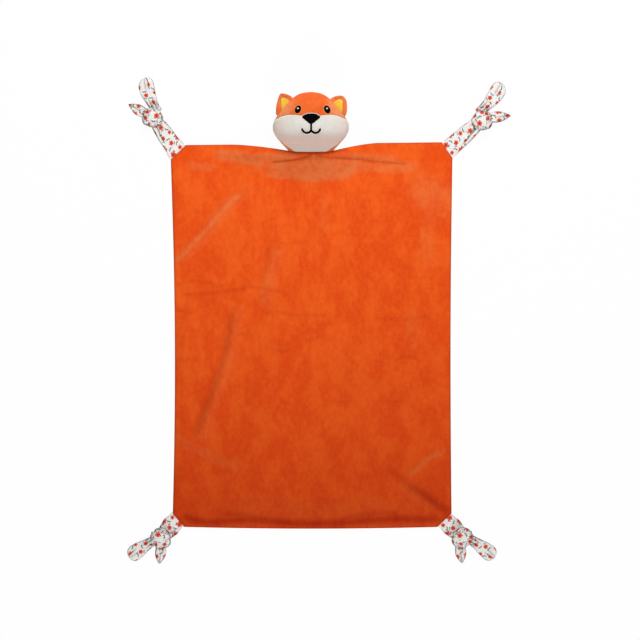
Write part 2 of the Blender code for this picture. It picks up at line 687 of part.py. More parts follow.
def make_band(name, hinge, seam_half, slant, run, knot_middle):
    # The band runs from the seam roll to the knot, slanted in its own plane
    radius = TIE_SEAM_ROLL / 2
    flat = TIE_SEAM_FLAT / 2
    half = TIE_THICKNESS / 2
    start = 2 * TIE_SEAM_ROLL
    stations = roll_stations(radius, seam_half)
    for along in (radius, 2 * radius, 3 * radius):
        stations.append((along, slant * along, seam_half, 0.0, flat, flat))
    for share, width_share, thickness_share in BAND_SHARES:
        along = start + (run - start) * share
        half_width = (TIE_GATHERED_WIDTH + (TIE_WIDTH - TIE_GATHERED_WIDTH) * width_share) / 2
        thick = half * thickness_share
        stations.append((along, slant * along, half_width, knot_middle * share, thick, thick))
    last = stations[-1]
    first_end = Vector((0.0, -radius, 0.0))
    last_end = Vector((last[1], last[0], last[3]))
    band = swollen_form(stations, first_end, last_end, BAND_SIDES, FLAT_POWER)
    make_object(name + "_tie_band", band, "printed_cotton", hinge)


def make_knot(name, hinge, place, along, planes):
    # A flattened knot with one turn of the tie wrapped across it, cut back where the other pieces meet it
    stations = []
    for share in KNOT_SHARES:
        rise = math.sqrt(1 - share * share)
        stations.append((KNOT_LENGTH / 2 * share, 0.0, KNOT_WIDTH / 2 * rise, 0.0,
                         KNOT_THICKNESS / 2 * rise, KNOT_THICKNESS / 2 * rise))
    first = Vector((0.0, -KNOT_LENGTH / 2, 0.0))
    core = swollen_form(stations, first, -first, KNOT_SIDES, KNOT_POWER)
    turn = math.atan2(-along.x, along.y)
    move = Matrix.Translation(place) @ Matrix.Rotation(turn, 4, "Z")
    bmesh.ops.transform(core, matrix=move, verts=core.verts)
    knot = make_object(name + "_tie_knot", core, "printed_cotton", hinge)

    wrap = wrap_ring(KNOT_WIDTH / 2, KNOT_THICKNESS / 2)
    bmesh.ops.transform(wrap, matrix=move @ Matrix.Rotation(KNOT_WRAP_TURN, 4, "Z"), verts=wrap.verts)
    ring = make_cutter(name + "_knot_wrap", wrap, hinge)
    union = knot.modifiers.new("wrap", "BOOLEAN")
    union.operation = "UNION"
    union.object = ring

    reach = Vector((KNOT_LENGTH, KNOT_LENGTH, KNOT_LENGTH))
    space = block(place - reach, place + reach)
    for plane_place, plane_normal in planes:
        cut = bmesh.ops.bisect_plane(
            space, geom=space.verts[:] + space.edges[:] + space.faces[:], dist=CLEARANCE / 100,
            plane_co=plane_place, plane_no=plane_normal, clear_outer=True)
        edges = [item for item in cut["geom_cut"] if isinstance(item, bmesh.types.BMEdge)]
        bmesh.ops.edgeloop_fill(space, edges=edges)
    keep_inside(knot, make_cutter(name + "_knot_space", space, hinge))


def wrap_ring(half_width, half_height):
    # A flat band of cloth bent into an oval ring round Y
    bm = bmesh.new()
    bmesh.ops.create_circle(bm, segments=WRAP_SIDES, radius=1.0)
    for vert in bm.verts:
        vert.co = (half_width + KNOT_WRAP_THICKNESS / 2 * vert.co.x, KNOT_WRAP_WIDTH / 2 * vert.co.y, 0.0)
    bmesh.ops.spin(
        bm, geom=bm.verts[:] + bm.edges[:], cent=(0.0, 0.0, 0.0), axis=(0.0, 1.0, 0.0),
        angle=2 * math.pi, steps=WRAP_STEPS, use_merge=True)
    squash = half_height / half_width
    for vert in bm.verts:
        vert.co.z *= squash
    return bm


def make_long_end(name, root, length, curve):
    # A padded paddle: narrow at the knot, widest past its middle, round at the tip, resting on the ground
    radius = END_ROLL / 2
    half = LONG_END_THICKNESS / 2
    drop = END_LEVEL - half
    stations = roll_stations(radius, LONG_END_NECK / 2)
    for share, width, thickness in LONG_END_SHARES:
        along = length * share
        side = curve * length * share * (1 - share)
        half_width = LONG_END_NECK / 2 + (LONG_END_WIDTH - LONG_END_NECK) / 2 * width
        if width < 0:
            half_width = LONG_END_WIDTH / 2 * (1 + width)
        level = -drop * min(share / LONG_END_DROP_SHARE, 1.0)
        stations.append((along, side, half_width, level, half * thickness, half * thickness))
    last = Vector((0.0, length, -drop))
    form = swollen_form(stations, Vector((0.0, -radius, 0.0)), last, LONG_END_SIDES, LONG_END_POWER)
    make_object(name + "_tie_long_end", form, "printed_cotton", root)


def make_short_end(name, root, length, curve):
    # A pointed tail: the folded tip of the strip
    radius = END_ROLL / 2
    half = SHORT_END_THICKNESS / 2
    drop = END_LEVEL - half
    stations = roll_stations(radius, SHORT_END_WIDTH / 2 * SHORT_END_ROOT_SHARE)
    for share, width, thickness in SHORT_END_SHARES:
        side = curve * length * share * (1 - share)
        level = -drop * min(share / SHORT_END_DROP_SHARE, 1.0)
        half_width = SHORT_END_WIDTH / 2 * width
        stations.append((length * share, side, half_width, level, half * thickness, half * thickness))
    last = Vector((0.0, length, -drop))
    form = swollen_form(stations, Vector((0.0, -radius, 0.0)), last, SHORT_END_SIDES, LONG_END_POWER)
    make_object(name + "_tie_short_end", form, "printed_cotton", root)


def make_tie(name, sizes, degrees):
    seam, outward, seam_length = corner_seam(TIE_SIDES[name], sizes["cut"])
    turn = math.atan2(-outward.x, outward.y)
    hinge = make_axis(name + "_tie_hinge", seam + outward * (TIE_SEAM_ROLL / 2 + CLEARANCE), turn)
    to_hinge = Matrix.Rotation(-turn, 3, "Z")

    band_length = sizes["band"]
    along = to_hinge @ heading(degrees["band"])
    run = (band_length - KNOT_REACH) * along.y
    knot_level = KNOT_THICKNESS / 2 - GROUND_FLAT - MIDDLE_LEVEL
    seam_half = seam_length / 2 - TIE_SEAM_INSET
    make_band(name, hinge, seam_half, along.x / along.y, run, knot_level - TIE_THICKNESS / 2)

    ground = Vector((0.0, 0.0, -MIDDLE_LEVEL))
    planes = [
        (ground, Vector((0.0, 0.0, -1.0))),
        (Vector((0.0, run + CLEARANCE, 0.0)), Vector((0.0, -1.0, 0.0))),
    ]
    for part, make_end in (("long_end", make_long_end), ("short_end", make_short_end)):
        distance, length = sizes[part]
        exit_angle, angle, curve = degrees[part]
        place = along * band_length + to_hinge @ heading(exit_angle) * distance
        place.z = END_LEVEL - MIDDLE_LEVEL
        run_out = to_hinge @ heading(angle)
        planes.append((place - run_out * (END_ROLL / 2 + CLEARANCE), run_out))
        root = make_axis(name + "_" + part + "_hinge", place, math.atan2(-run_out.x, run_out.y), hinge)
        make_end(name, root, length, math.tan(math.radians(curve)))
    make_knot(name, hinge, along * band_length + Vector((0.0, 0.0, knot_level)), along, planes)


MATERIALS = {}
PARTS = None
CUTTERS = None


def main():
    global PARTS, CUTTERS
    clear_scene()
    PARTS = make_collection("comfort_blanket_lovey")
    CUTTERS = make_collection("cutters")
    for name in FINISHES:
        MATERIALS[name] = make_finish(name)
    make_blanket_layer("blanket_front_panel", FRONT_LAYER, True)
    make_blanket_layer("blanket_back_panel", BACK_LAYER, False)
    head_hinge = make_axis("head_hinge", NECK_AXIS, 0.0)
    make_head(head_hinge)
    make_face(head_hinge)
    left_sizes = (LEFT_EAR_HEIGHT, LEFT_EAR_SHARES, LEFT_LINING_HEIGHT, LEFT_LINING_SHARES)
    make_ear("left_ear", -1, left_sizes, head_hinge)
    right_sizes = (RIGHT_EAR_HEIGHT, RIGHT_EAR_SHARES, RIGHT_LINING_HEIGHT, RIGHT_LINING_SHARES)
    make_ear("right_ear", 1, right_sizes, head_hinge)
    for name in TIE_SIDES:
        make_tie(name, TIE_SIZES[name], TIE_DEGREES[name])


main()
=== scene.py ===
import json
import math
from functools import partial

import bmesh
import bpy
import numpy as np
from mathutils import Matrix, Vector
from mathutils.bvhtree import BVHTree


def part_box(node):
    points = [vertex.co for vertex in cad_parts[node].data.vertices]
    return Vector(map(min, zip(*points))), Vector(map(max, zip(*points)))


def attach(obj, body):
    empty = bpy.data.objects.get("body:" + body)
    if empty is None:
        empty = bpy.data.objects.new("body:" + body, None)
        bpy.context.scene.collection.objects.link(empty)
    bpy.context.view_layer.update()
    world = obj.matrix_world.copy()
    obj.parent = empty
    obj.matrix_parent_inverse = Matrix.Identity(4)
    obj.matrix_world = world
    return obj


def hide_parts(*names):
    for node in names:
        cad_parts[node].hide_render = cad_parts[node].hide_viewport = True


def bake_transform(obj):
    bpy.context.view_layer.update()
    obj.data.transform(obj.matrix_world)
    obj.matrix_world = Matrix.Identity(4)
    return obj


# Comfort blanket lovey: plush blanket, stuffed fox head, four knotted cotton ties.
# Metres, +Z up, +Y towards the head. Left and right are as seen from above.
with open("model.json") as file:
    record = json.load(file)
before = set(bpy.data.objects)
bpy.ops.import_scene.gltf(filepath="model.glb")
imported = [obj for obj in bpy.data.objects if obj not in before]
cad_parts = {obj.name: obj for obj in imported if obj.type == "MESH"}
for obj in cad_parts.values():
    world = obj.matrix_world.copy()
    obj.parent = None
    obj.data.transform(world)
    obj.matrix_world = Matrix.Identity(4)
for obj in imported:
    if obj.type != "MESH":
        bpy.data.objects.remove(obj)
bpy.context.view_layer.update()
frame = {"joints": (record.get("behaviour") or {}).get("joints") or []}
jointOf = {joint["child"]: joint for joint in frame["joints"]}
fullTurn = 2 * math.pi


# small helpers

def smoothStep(value, low, high):
    share = np.clip((value - low) / (high - low), 0.0, 1.0)
    return share * share * (3.0 - 2.0 * share)


def softBump(value, middle, reach):
    # one at the middle, none past the reach
    return smoothStep(np.abs(value - middle), reach, 0.0)


def throughKeys(keys, places):
    # a smooth curve through rows of values, read at any place between them
    first = np.clip(np.floor(places).astype(int), 1, len(keys) - 3)
    t = (places - first)[:, None]
    a, b, c, d = keys[first - 1], keys[first], keys[first + 1], keys[first + 2]
    return 0.5 * (2 * b + (c - a) * t + (2 * a - 5 * b + 4 * c - d) * t ** 2 + (3 * b - a - 3 * c + d) * t ** 3)


def smoothRows(keys, count):
    # a smooth curve that runs through all the rows given
    keys = np.asarray(keys, float)
    longer = np.vstack([2 * keys[0] - keys[1], keys, 2 * keys[-1] - keys[-2]])
    return throughKeys(longer, np.linspace(1, len(keys), count))


def roundPower(value, power):
    return np.sign(value) * np.abs(value) ** (2.0 / power)


def travelled(points):
    # the distance along a line of points, at each of them
    return np.concatenate([[0.0], np.cumsum(np.linalg.norm(np.diff(points, axis=0), axis=1))])


def linkNew(name, data):
    made = bpy.data.objects.new(name, data)
    bpy.context.scene.collection.objects.link(made)
    return made


def meshFrom(name, bm):
    mesh = bpy.data.meshes.new(name)
    bm.to_mesh(mesh)
    bm.free()
    return mesh


def editable(mesh):
    bm = bmesh.new()
    bm.from_mesh(mesh)
    return bm


def finishPiece(name, bm, finish, nodes=()):
    mesh = meshFrom(name, bm)
    mesh.materials.append(finishes[finish])
    mesh.shade_smooth()
    piece = linkNew(name, mesh)
    if nodes:
        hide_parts(*nodes)
    return piece


def paint(piece, name, values):
    # a value at each point that the material reads
    layer = piece.data.attributes.new(name, "FLOAT", "POINT")
    layer.data.foreach_set("value", np.asarray(values, np.float32))


def turnOutward(bm):
    bmesh.ops.recalc_face_normals(bm, faces=bm.faces)


def turnThinOutward(bm):
    # turnOutward goes by one far face, which can leave a thin cupped shape inside out
    if bm.calc_volume(signed=True) < 0.0:
        bmesh.ops.reverse_faces(bm, faces=bm.faces)


def moveBy(bm, matrix):
    bmesh.ops.transform(bm, matrix=matrix, verts=bm.verts)


def cutOff(bm, middle, outward):
    bmesh.ops.bisect_plane(bm, geom=bm.verts[:] + bm.edges[:] + bm.faces[:], dist=1e-6, plane_co=middle,
                           plane_no=outward, clear_outer=True)


def facingOf(bm):
    bm.normal_update()
    return np.array([vert.normal[:] for vert in bm.verts])


def surfaceOf(piece):
    return BVHTree.FromPolygons([vert.co[:] for vert in piece.data.vertices],
                                [tuple(face.vertices) for face in piece.data.polygons])


def heightOn(surface, x, y, otherwise):
    # the height of a surface as met from above, or else the value given
    hit = surface.ray_cast(Vector((x, y, 0.2)), Vector((0.0, 0.0, -1.0)))[0]
    return hit.z if hit else otherwise


def creaseDepth(mesh, rounds=2):
    # how far each point lies in a crease: the mean rise of its neighbours over their distance
    places = np.empty((len(mesh.vertices), 3))
    facing = np.empty((len(mesh.vertices), 3))
    ends = np.empty((len(mesh.edges), 2), int)
    mesh.vertices.foreach_get("co", places.ravel())
    mesh.vertices.foreach_get("normal", facing.ravel())
    mesh.edges.foreach_get("vertices", ends.ravel())
    links = np.bincount(ends.ravel(), minlength=len(places))

    def spread(values):
        total = np.bincount(ends[:, 0], values[1], len(places)) + np.bincount(ends[:, 1], values[0], len(places))
        return total / np.maximum(links, 1)

    away = places[ends[:, 1]] - places[ends[:, 0]]
    away /= np.maximum(np.linalg.norm(away, axis=1, keepdims=True), 1e-9)
    hollow = spread(((-away * facing[ends[:, 1]]).sum(1), (away * facing[ends[:, 0]]).sum(1)))
    for _ in range(rounds):
        hollow = 0.5 * hollow + 0.5 * spread((hollow[ends[:, 0]], hollow[ends[:, 1]]))
    return hollow, facing


# nodes

def setInputs(node, inputs):
    # each input is linked or set, by what is given for it
    for key, value in inputs.items():
        if isinstance(value, bpy.types.NodeSocket):
            value.id_data.links.new(value, node.inputs[key])
        else:
            node.inputs[key].default_value = value
    return node


def addNode(kind, inputs, tree=None, **settings):
    # goes into the tree given, or else into the tree of its first linked input
    if tree is None:
        tree = next(value for value in inputs.values() if isinstance(value, bpy.types.NodeSocket)).id_data
    made = tree.nodes.new(kind)
    for key, value in settings.items():
        setattr(made, key, value)
    return setInputs(made, inputs)


def doMath(operation, *values, clamp=False, tree=None):
    inputs = dict(enumerate(values))
    return addNode("ShaderNodeMath", inputs, tree, operation=operation, use_clamp=clamp).outputs[0]


plus, minus, times, over, unsigned, sine, cosine, rootOf, wholeOf = (partial(doMath, operation) for operation in (
    "ADD", "SUBTRACT", "MULTIPLY", "DIVIDE", "ABSOLUTE", "SINE", "COSINE", "SQRT", "FLOOR"))


def doVector(operation, first, second):
    return addNode("ShaderNodeVectorMath", {0: first, 1: second}, operation=operation).outputs[0]


def vectorOf(x, y, z):
    return addNode("ShaderNodeCombineXYZ", {0: x, 1: y, 2: z}).outputs[0]


def axesOf(vector):
    return addNode("ShaderNodeSeparateXYZ", {0: vector}).outputs


def painted(socket, name):
    # a value that the piece carries at its points
    return addNode("ShaderNodeAttribute", {}, socket.id_data, attribute_name=name).outputs["Fac"]


def mixColour(factor, *colours, blend="MIX"):
    first, second = ((*colour, 1.0) if isinstance(colour, tuple) else colour for colour in colours)
    inputs = {0: factor, 6: first, 7: second}
    return addNode("ShaderNodeMix", inputs, data_type="RGBA", blend_type=blend).outputs[2]


def noiseAt(vector, scale, detail=3.0, roughness=0.55):
    inputs = {"Vector": vector, "Scale": scale, "Detail": detail, "Roughness": roughness}
    return addNode("ShaderNodeTexNoise", inputs).outputs[0]


def between(value, low, high):
    # value from low to high as 0 to 1, eased
    inputs = {"Value": value, "From Min": low, "From Max": high}
    return addNode("ShaderNodeMapRange", inputs, interpolation_type="SMOOTHSTEP").outputs[0]


def spreadOver(value, low, high):
    # 0 to 1 as low to high
    return addNode("ShaderNodeMapRange", {"Value": value, "To Min": low, "To Max": high}).outputs[0]


def useGroup(group, vector, numbers):
    return addNode("ShaderNodeGroup", {"Vector": vector, **numbers}, node_tree=group).outputs


def newGroup(name, numbers, outputs):
    group = bpy.data.node_groups.new(name, "ShaderNodeTree")
    group.interface.new_socket("Vector", in_out="INPUT", socket_type="NodeSocketVector")
    for label, value in numbers.items():
        group.interface.new_socket(label, in_out="INPUT", socket_type="NodeSocketFloat").default_value = value
    for label in outputs:
        group.interface.new_socket(label, in_out="OUTPUT", socket_type="NodeSocketFloat")
    start, end = group.nodes.new("NodeGroupInput"), group.nodes.new("NodeGroupOutput")

    def give(label, value):
        group.links.new(value, end.inputs[label])

    return group, start.outputs, give


# how many streaks cross a patch of the pile, and how much of its relief is clumps or single fibres
pileParts = {"streaksPerPatch": 4.5, "clumps": 0.6, "fibres": 0.4}


def buildBrushedPile():
    # patches where the pile lies another way, brush streaks along Y, and the fibres themselves
    group, given, give = newGroup(
        "brushedPile", {"Patch Size": 0.03, "Streak": 0.4, "Clump Size": 0.0035, "Fibre Size": 0.0009},
        ["Patch", "Streaks", "Fibre", "Height"])
    place = given["Vector"]
    brushed = doVector("MULTIPLY", place, vectorOf(1.0, given["Streak"], 1.0))
    patchScale = over(1.0, given["Patch Size"])
    give("Patch", between(noiseAt(brushed, patchScale, 5.0, 0.6), 0.40, 0.60))
    streakScale = times(patchScale, pileParts["streaksPerPatch"])
    give("Streaks", between(noiseAt(brushed, streakScale, 4.0, 0.65), 0.40, 0.62))
    clumps, fibre = (noiseAt(place, over(1.0, given[size]), 2.0) for size in ("Clump Size", "Fibre Size"))
    give("Fibre", fibre)
    give("Height", plus(times(clumps, pileParts["clumps"]), times(fibre, pileParts["fibres"])))
    return group


def buildPlainWeave():
    # over and under threads of a plain weave, from a place on the strip in metres
    group, given, give = newGroup("plainWeave", {"Thread Size": 0.0005}, ["Height", "Slub"])
    turns = over(math.pi, given["Thread Size"])
    across, along, _ = axesOf(given["Vector"])
    give("Height", times(sine(times(across, turns)), sine(times(along, turns))))
    give("Slub", noiseAt(doVector("MULTIPLY", given["Vector"], (1400.0, 130.0, 1.0)), 1.0, 2.0))
    return group


# the print's motifs, as shares of their cell
motif = {"petals": 5, "flower": 0.315, "notch": 0.60, "heart": 0.085, "dot": 0.062, "dotOut": 0.36,
         "dotApart": 0.085, "scatter": 0.16, "smallest": 0.66, "largest": 1.12, "stem": 0.024, "stemReach": 0.30,
         "bow": 0.10, "bowTurns": 5.0, "leaf": 0.090, "leafTurns": 16.0, "leafReach": 0.22, "edge": 0.02}


def buildOrchardPrint():
    # blossoms, berries and sprigs in a half-drop layout, each with its own turn, size and place in its cell
    group, given, give = newGroup("orchardPrint", {"Cell Size": 0.0132},
                                  ["Blossom", "Petal Shade", "Heart", "Dot", "Sprig"])

    def inside(value, limit):
        return between(value, plus(limit, motif["edge"], tree=group), minus(limit, motif["edge"], tree=group))

    def far(x, y):
        return rootOf(plus(times(x, x), times(y, y)))

    def inCell(value, odd):
        return minus(doMath("FRACT", value), plus(times(odd, motif["scatter"]), 0.5 - motif["scatter"] / 2))

    def cellPlace(shift):
        # place in its own cell from -0.5 to 0.5, turned by the cell's own angle, and the motif's size there
        x, y, _ = axesOf(doVector("DIVIDE", given["Vector"], vectorOf(*[given["Cell Size"]] * 3)))
        along = plus(y, shift)
        row = wholeOf(along)
        across = plus(plus(x, shift), times(row, 0.5))
        cell = vectorOf(wholeOf(across), row, shift)
        chance = addNode("ShaderNodeTexWhiteNoise", {"Vector": cell}, noise_dimensions="3D").outputs
        odds = addNode("ShaderNodeSeparateColor", {0: chance["Color"]}).outputs
        centred = vectorOf(inCell(across, odds[0]), inCell(along, odds[1]), 0.0)
        inputs = {"Vector": centred, "Angle": times(chance["Value"], fullTurn)}
        turned = addNode("ShaderNodeVectorRotate", inputs, rotation_type="Z_AXIS").outputs[0]
        x, y, _ = axesOf(turned)
        return x, y, spreadOver(odds[2], motif["smallest"], motif["largest"])

    x, y, size = cellPlace(0.0)
    radius = over(far(x, y), size)
    petal = unsigned(cosine(times(doMath("ARCTAN2", y, x), motif["petals"] / 2)))
    lobes = plus(motif["notch"], times(rootOf(petal), 1.0 - motif["notch"]))
    give("Blossom", inside(radius, times(lobes, motif["flower"])))
    give("Petal Shade", times(petal, over(radius, motif["flower"]), clamp=True))
    give("Heart", inside(radius, motif["heart"]))
    berry = far(minus(x, motif["dotOut"]), minus(unsigned(y), motif["dotApart"]))
    give("Dot", inside(berry, motif["dot"]))

    x, y, _ = cellPlace(0.5)
    fromStem = unsigned(minus(y, times(cosine(times(x, motif["bowTurns"])), motif["bow"])))
    fromMiddle = unsigned(x)
    stem = times(inside(fromStem, motif["stem"]), inside(fromMiddle, motif["stemReach"]))
    leafWave = unsigned(sine(times(x, motif["leafTurns"])))
    leaf = inside(fromStem, times(leafWave, motif["leaf"]))
    give("Sprig", doMath("MAXIMUM", stem, times(leaf, inside(fromMiddle, motif["leafReach"]))))
    return group


brushedPile = buildBrushedPile()
plainWeave = buildPlainWeave()
orchardPrint = buildOrchardPrint()
print("node groups built")


# finishes

plushLooks = {
    # deep is the pile lying flat, bright is it brushed up, pale is its tips where it is brushed the other way and
    # also its painted sheen, crease is the tint of painted shade
    "orangePlush": {"deep": (0.830, 0.068, 0.003), "bright": (0.975, 0.140, 0.012), "pale": (0.840, 0.190, 0.050),
                    "crease": (0.48, 0.25, 0.03), "patch": 0.027, "streak": 0.60, "clump": 0.0026,
                    "fibre": 0.0007, "relief": 0.00035},
    "headPlush": {"deep": (0.800, 0.106, 0.016), "bright": (0.890, 0.170, 0.032), "pale": (0.935, 0.370, 0.150),
                  "crease": (0.50, 0.36, 0.22), "patch": 0.018, "streak": 0.8, "clump": 0.0020,
                  "fibre": 0.0006, "relief": 0.00030},
    "whitePlush": {"deep": (0.760, 0.720, 0.655), "bright": (0.825, 0.795, 0.730), "pale": (0.840, 0.740, 0.670),
                   "crease": (0.55, 0.40, 0.34), "patch": 0.026, "streak": 0.8, "clump": 0.0020,
                   "fibre": 0.0006, "relief": 0.00025},
    "yellowPlush": {"deep": (0.930, 0.480, 0.024), "bright": (0.990, 0.680, 0.060), "pale": (0.970, 0.760, 0.110),
                    "crease": (0.55, 0.40, 0.25), "patch": 0.008, "streak": 0.7, "clump": 0.0016,
                    "fibre": 0.0006, "relief": 0.00025},
}
# for all plush: what patches, streaks and a constant share add to the pile's lie and to its showing tips,
# how much darker its relief is painted where low, as shade, and lighter where high, as a highlight, and the shader's
# own values
pile = {"lie": (0.42, 0.26, 0.11), "tips": (0.22, 0.38, 0.56), "pileHollowShade": (0.95, 0.94, 0.93),
        "pileTopHighlight": (1.02, 1.02, 1.02), "depth": (0.30, 0.62), "roughness": (0.82, 0.98), "strength": 0.8,
        "shader": {"Sheen Weight": 0.12, "Sheen Roughness": 0.5, "Specular IOR Level": 0.15}}
threadLooks = {
    "blackThread": {"dark": (0.001, 0.001, 0.001), "light": (0.003, 0.003, 0.003), "roughness": 0.85,
                    "gloss": 0.02, "pitch": 0.00042},
    "whiteThread": {"dark": (0.820, 0.820, 0.830), "light": (0.940, 0.940, 0.940), "roughness": 0.45,
                    "gloss": 0.40, "pitch": 0.00042},
    "creamThread": {"dark": (0.820, 0.790, 0.730), "light": (0.930, 0.910, 0.870), "roughness": 0.75,
                    "gloss": 0.20, "pitch": 0.0006},
    "apricotThread": {"dark": (0.880, 0.200, 0.060), "light": (0.940, 0.300, 0.110), "roughness": 0.80,
                      "gloss": 0.20, "pitch": 0.0006},
}
# for all thread: how fast and how far its stitches waver, and their relief
satin = {"waverScale": 900.0, "waver": 3.0, "relief": 0.0002, "strength": 0.7}
# crease is the tint of painted shade on the ties
cottonLook = {"ground": (0.925, 0.925, 0.890), "shadowed": (0.870, 0.865, 0.832), "crease": (0.24, 0.22, 0.22),
              "petal": (0.780, 0.050, 0.014), "petalPale": (0.840, 0.150, 0.070), "heart": (0.200, 0.014, 0.008),
              "dot": (0.060, 0.020, 0.016), "sprig": (0.130, 0.145, 0.150), "thread": 0.0005, "cell": 0.0134,
              "wornScale": 160.0, "worn": (0.30, 0.75), "slubs": (0.93, 1.05), "relief": 0.00008, "strength": 0.6}
fibreLook = {"dark": (0.70, 0.70, 0.68), "light": (0.90, 0.90, 0.88), "tufts": 220.0, "relief": 0.002}


# painted shade: the colour is darkened towards the tint as far as the piece carries shade
def withPaintedShade(colour, tint):
    return mixColour(painted(colour, "shade"), colour, mixColour(1.0, colour, tint, blend="MULTIPLY"))


# each surface is given the place on the object and a look, and gives back its height, how deep and how strong
# its relief is, and the shader's inputs

def plushSurface(place, look):
    given = useGroup(brushedPile, place, {"Patch Size": look["patch"], "Streak": look["streak"],
                                          "Clump Size": look["clump"], "Fibre Size": look["fibre"]})

    def shared(shares, clamp):
        patch, streaks, always = shares
        return plus(times(given["Patch"], patch), plus(times(given["Streaks"], streaks), always), clamp=clamp)

    colour = mixColour(shared(pile["lie"], True), look["deep"], look["bright"])
    lift = times(painted(place, "pileTipsAndPaintedSheen"), shared(pile["tips"], False), clamp=True)
    colour = mixColour(lift, colour, look["pale"])
    # painted shade in the low places of the pile's relief, and a painted highlight on the high ones
    depth = between(given["Height"], *pile["depth"])
    colour = mixColour(1.0, colour, mixColour(depth, pile["pileHollowShade"], pile["pileTopHighlight"]), blend="MULTIPLY")
    return given["Height"], look["relief"], pile["strength"], {
        "Base Color": withPaintedShade(colour, look["crease"]), "Roughness": spreadOver(given["Fibre"], *pile["roughness"]),
        "Sheen Tint": (*look["pale"], 1.0), **pile["shader"]}


def threadSurface(place, look):
    # satin stitches side by side, each a rounded ridge, painted darker between the ridges as shade and lighter on
    # their tops as a highlight
    waver = times(noiseAt(place, satin["waverScale"], 2.0), satin["waver"])
    ridge = unsigned(sine(plus(times(axesOf(place)[0], fullTurn / look["pitch"]), waver)))
    return ridge, satin["relief"], satin["strength"], {
        "Base Color": mixColour(ridge, look["dark"], look["light"]), "Roughness": look["roughness"],
        "Specular IOR Level": look["gloss"]}


def cottonSurface(place, look):
    strip = addNode("ShaderNodeUVMap", {}, place.id_data, uv_map="strip").outputs[0]
    motifs = useGroup(orchardPrint, strip, {"Cell Size": look["cell"]})
    weave = useGroup(plainWeave, strip, {"Thread Size": look["thread"]})
    worn = between(noiseAt(place, look["wornScale"]), *look["worn"])
    colour = mixColour(worn, look["ground"], look["shadowed"])
    petal = mixColour(motifs["Petal Shade"], look["petal"], look["petalPale"])
    for mask, ink in (("Sprig", look["sprig"]), ("Blossom", petal), ("Heart", look["heart"]), ("Dot", look["dot"])):
        colour = mixColour(motifs[mask], colour, ink)
    # the joining seam turns the print away
    colour = mixColour(painted(place, "seam"), colour, look["ground"])
    slub = spreadOver(weave["Slub"], *look["slubs"])
    grey = addNode("ShaderNodeCombineColor", {0: slub, 1: slub, 2: slub}).outputs[0]
    colour = mixColour(1.0, colour, grey, blend="MULTIPLY")
    return weave["Height"], look["relief"], look["strength"], {
        "Base Color": withPaintedShade(colour, look["crease"]), "Roughness": 0.85, "Sheen Weight": 0.1}


def fibreSurface(place, look):
    # the tufts are painted darker where they are low, as shade, and lighter where they are high, as a highlight
    tufts = noiseAt(place, look["tufts"], 6.0, 0.7)
    return tufts, look["relief"], 1.0, {"Base Color": mixColour(tufts, look["dark"], look["light"]), "Roughness": 1.0}


def makeFinish(name, surface, look):
    material = bpy.data.materials.new(name)
    material.use_nodes = True
    nodes = material.node_tree.nodes
    place = addNode("ShaderNodeTexCoord", {}, material.node_tree).outputs["Object"]
    height, relief, strength, inputs = surface(place, look)
    bump = addNode("ShaderNodeBump", {"Height": height, "Distance": relief, "Strength": strength})
    setInputs(nodes["Principled BSDF"], {"Normal": bump.outputs[0], **inputs})
    return material


finishes = {name: makeFinish(name, surface, look) for surface, looks in (
    (plushSurface, plushLooks), (threadSurface, threadLooks), (cottonSurface, {"printedCotton": cottonLook}),
    (fibreSurface, {"fibreFill": fibreLook})) for name, look in looks.items()}
print("finishes built:", len(finishes))


# blanket

cloth = {
    "width": 0.402, "length": 0.549, "frontLayer": 0.0024, "backLayer": 0.0023, "gap": 0.0003,
    "drawIn": 0.0019, "leftDrawIn": 0.0036, "flare": 0.0014, "slant": 0.0022, "sag": 0.0030,
    "edgeShare": 0.22, "taper": 0.0040, "allowance": 0.0085, "allowanceRise": 0.00040, "waves": 1.5,
    "neckWidth": 0.048, "neckLift": 0.020, "neckDip": 0.0122, "leftDip": 0.115, "rightDip": 0.095, "dipPower": 1.5,
    "liftReach": 0.125, "tentDepth": 0.046, "creaseStart": 0.0065, "creaseDepth": 0.0010, "creaseReach": 0.120,
    "creaseSlope": 0.20, "crowding": 0.30, "crowdingDown": 1.6, "plump": 0.0014, "leastLayer": 0.0006,
    "paintedSlopeSheen": 0.25, "paintedFoldShade": 0.75, "paintedSideShade": 0.35, "paintedRimShade": 0.40, "rimReach": 0.0024, "footTone": 0.68,
}
# the long low waves of the cloth: how often they come along X and Y, where they start, and their height
longWaves = ((23.0, 31.0, 0.3, 0.00055), (-37.0, 19.0, 1.7, 0.00045), (51.0, -13.0, 2.6, 0.00035),
             (-17.0, -61.0, 4.0, 0.00030), (83.0, 41.0, 5.1, 0.00018), (-71.0, 90.0, 0.9, 0.00015))
cornerCuts = {"top_left": (0.0222, 0.0214), "top_right": (0.0160, 0.0234),
              "bottom_left": (0.0182, 0.0208), "bottom_right": (0.0200, 0.0194)}
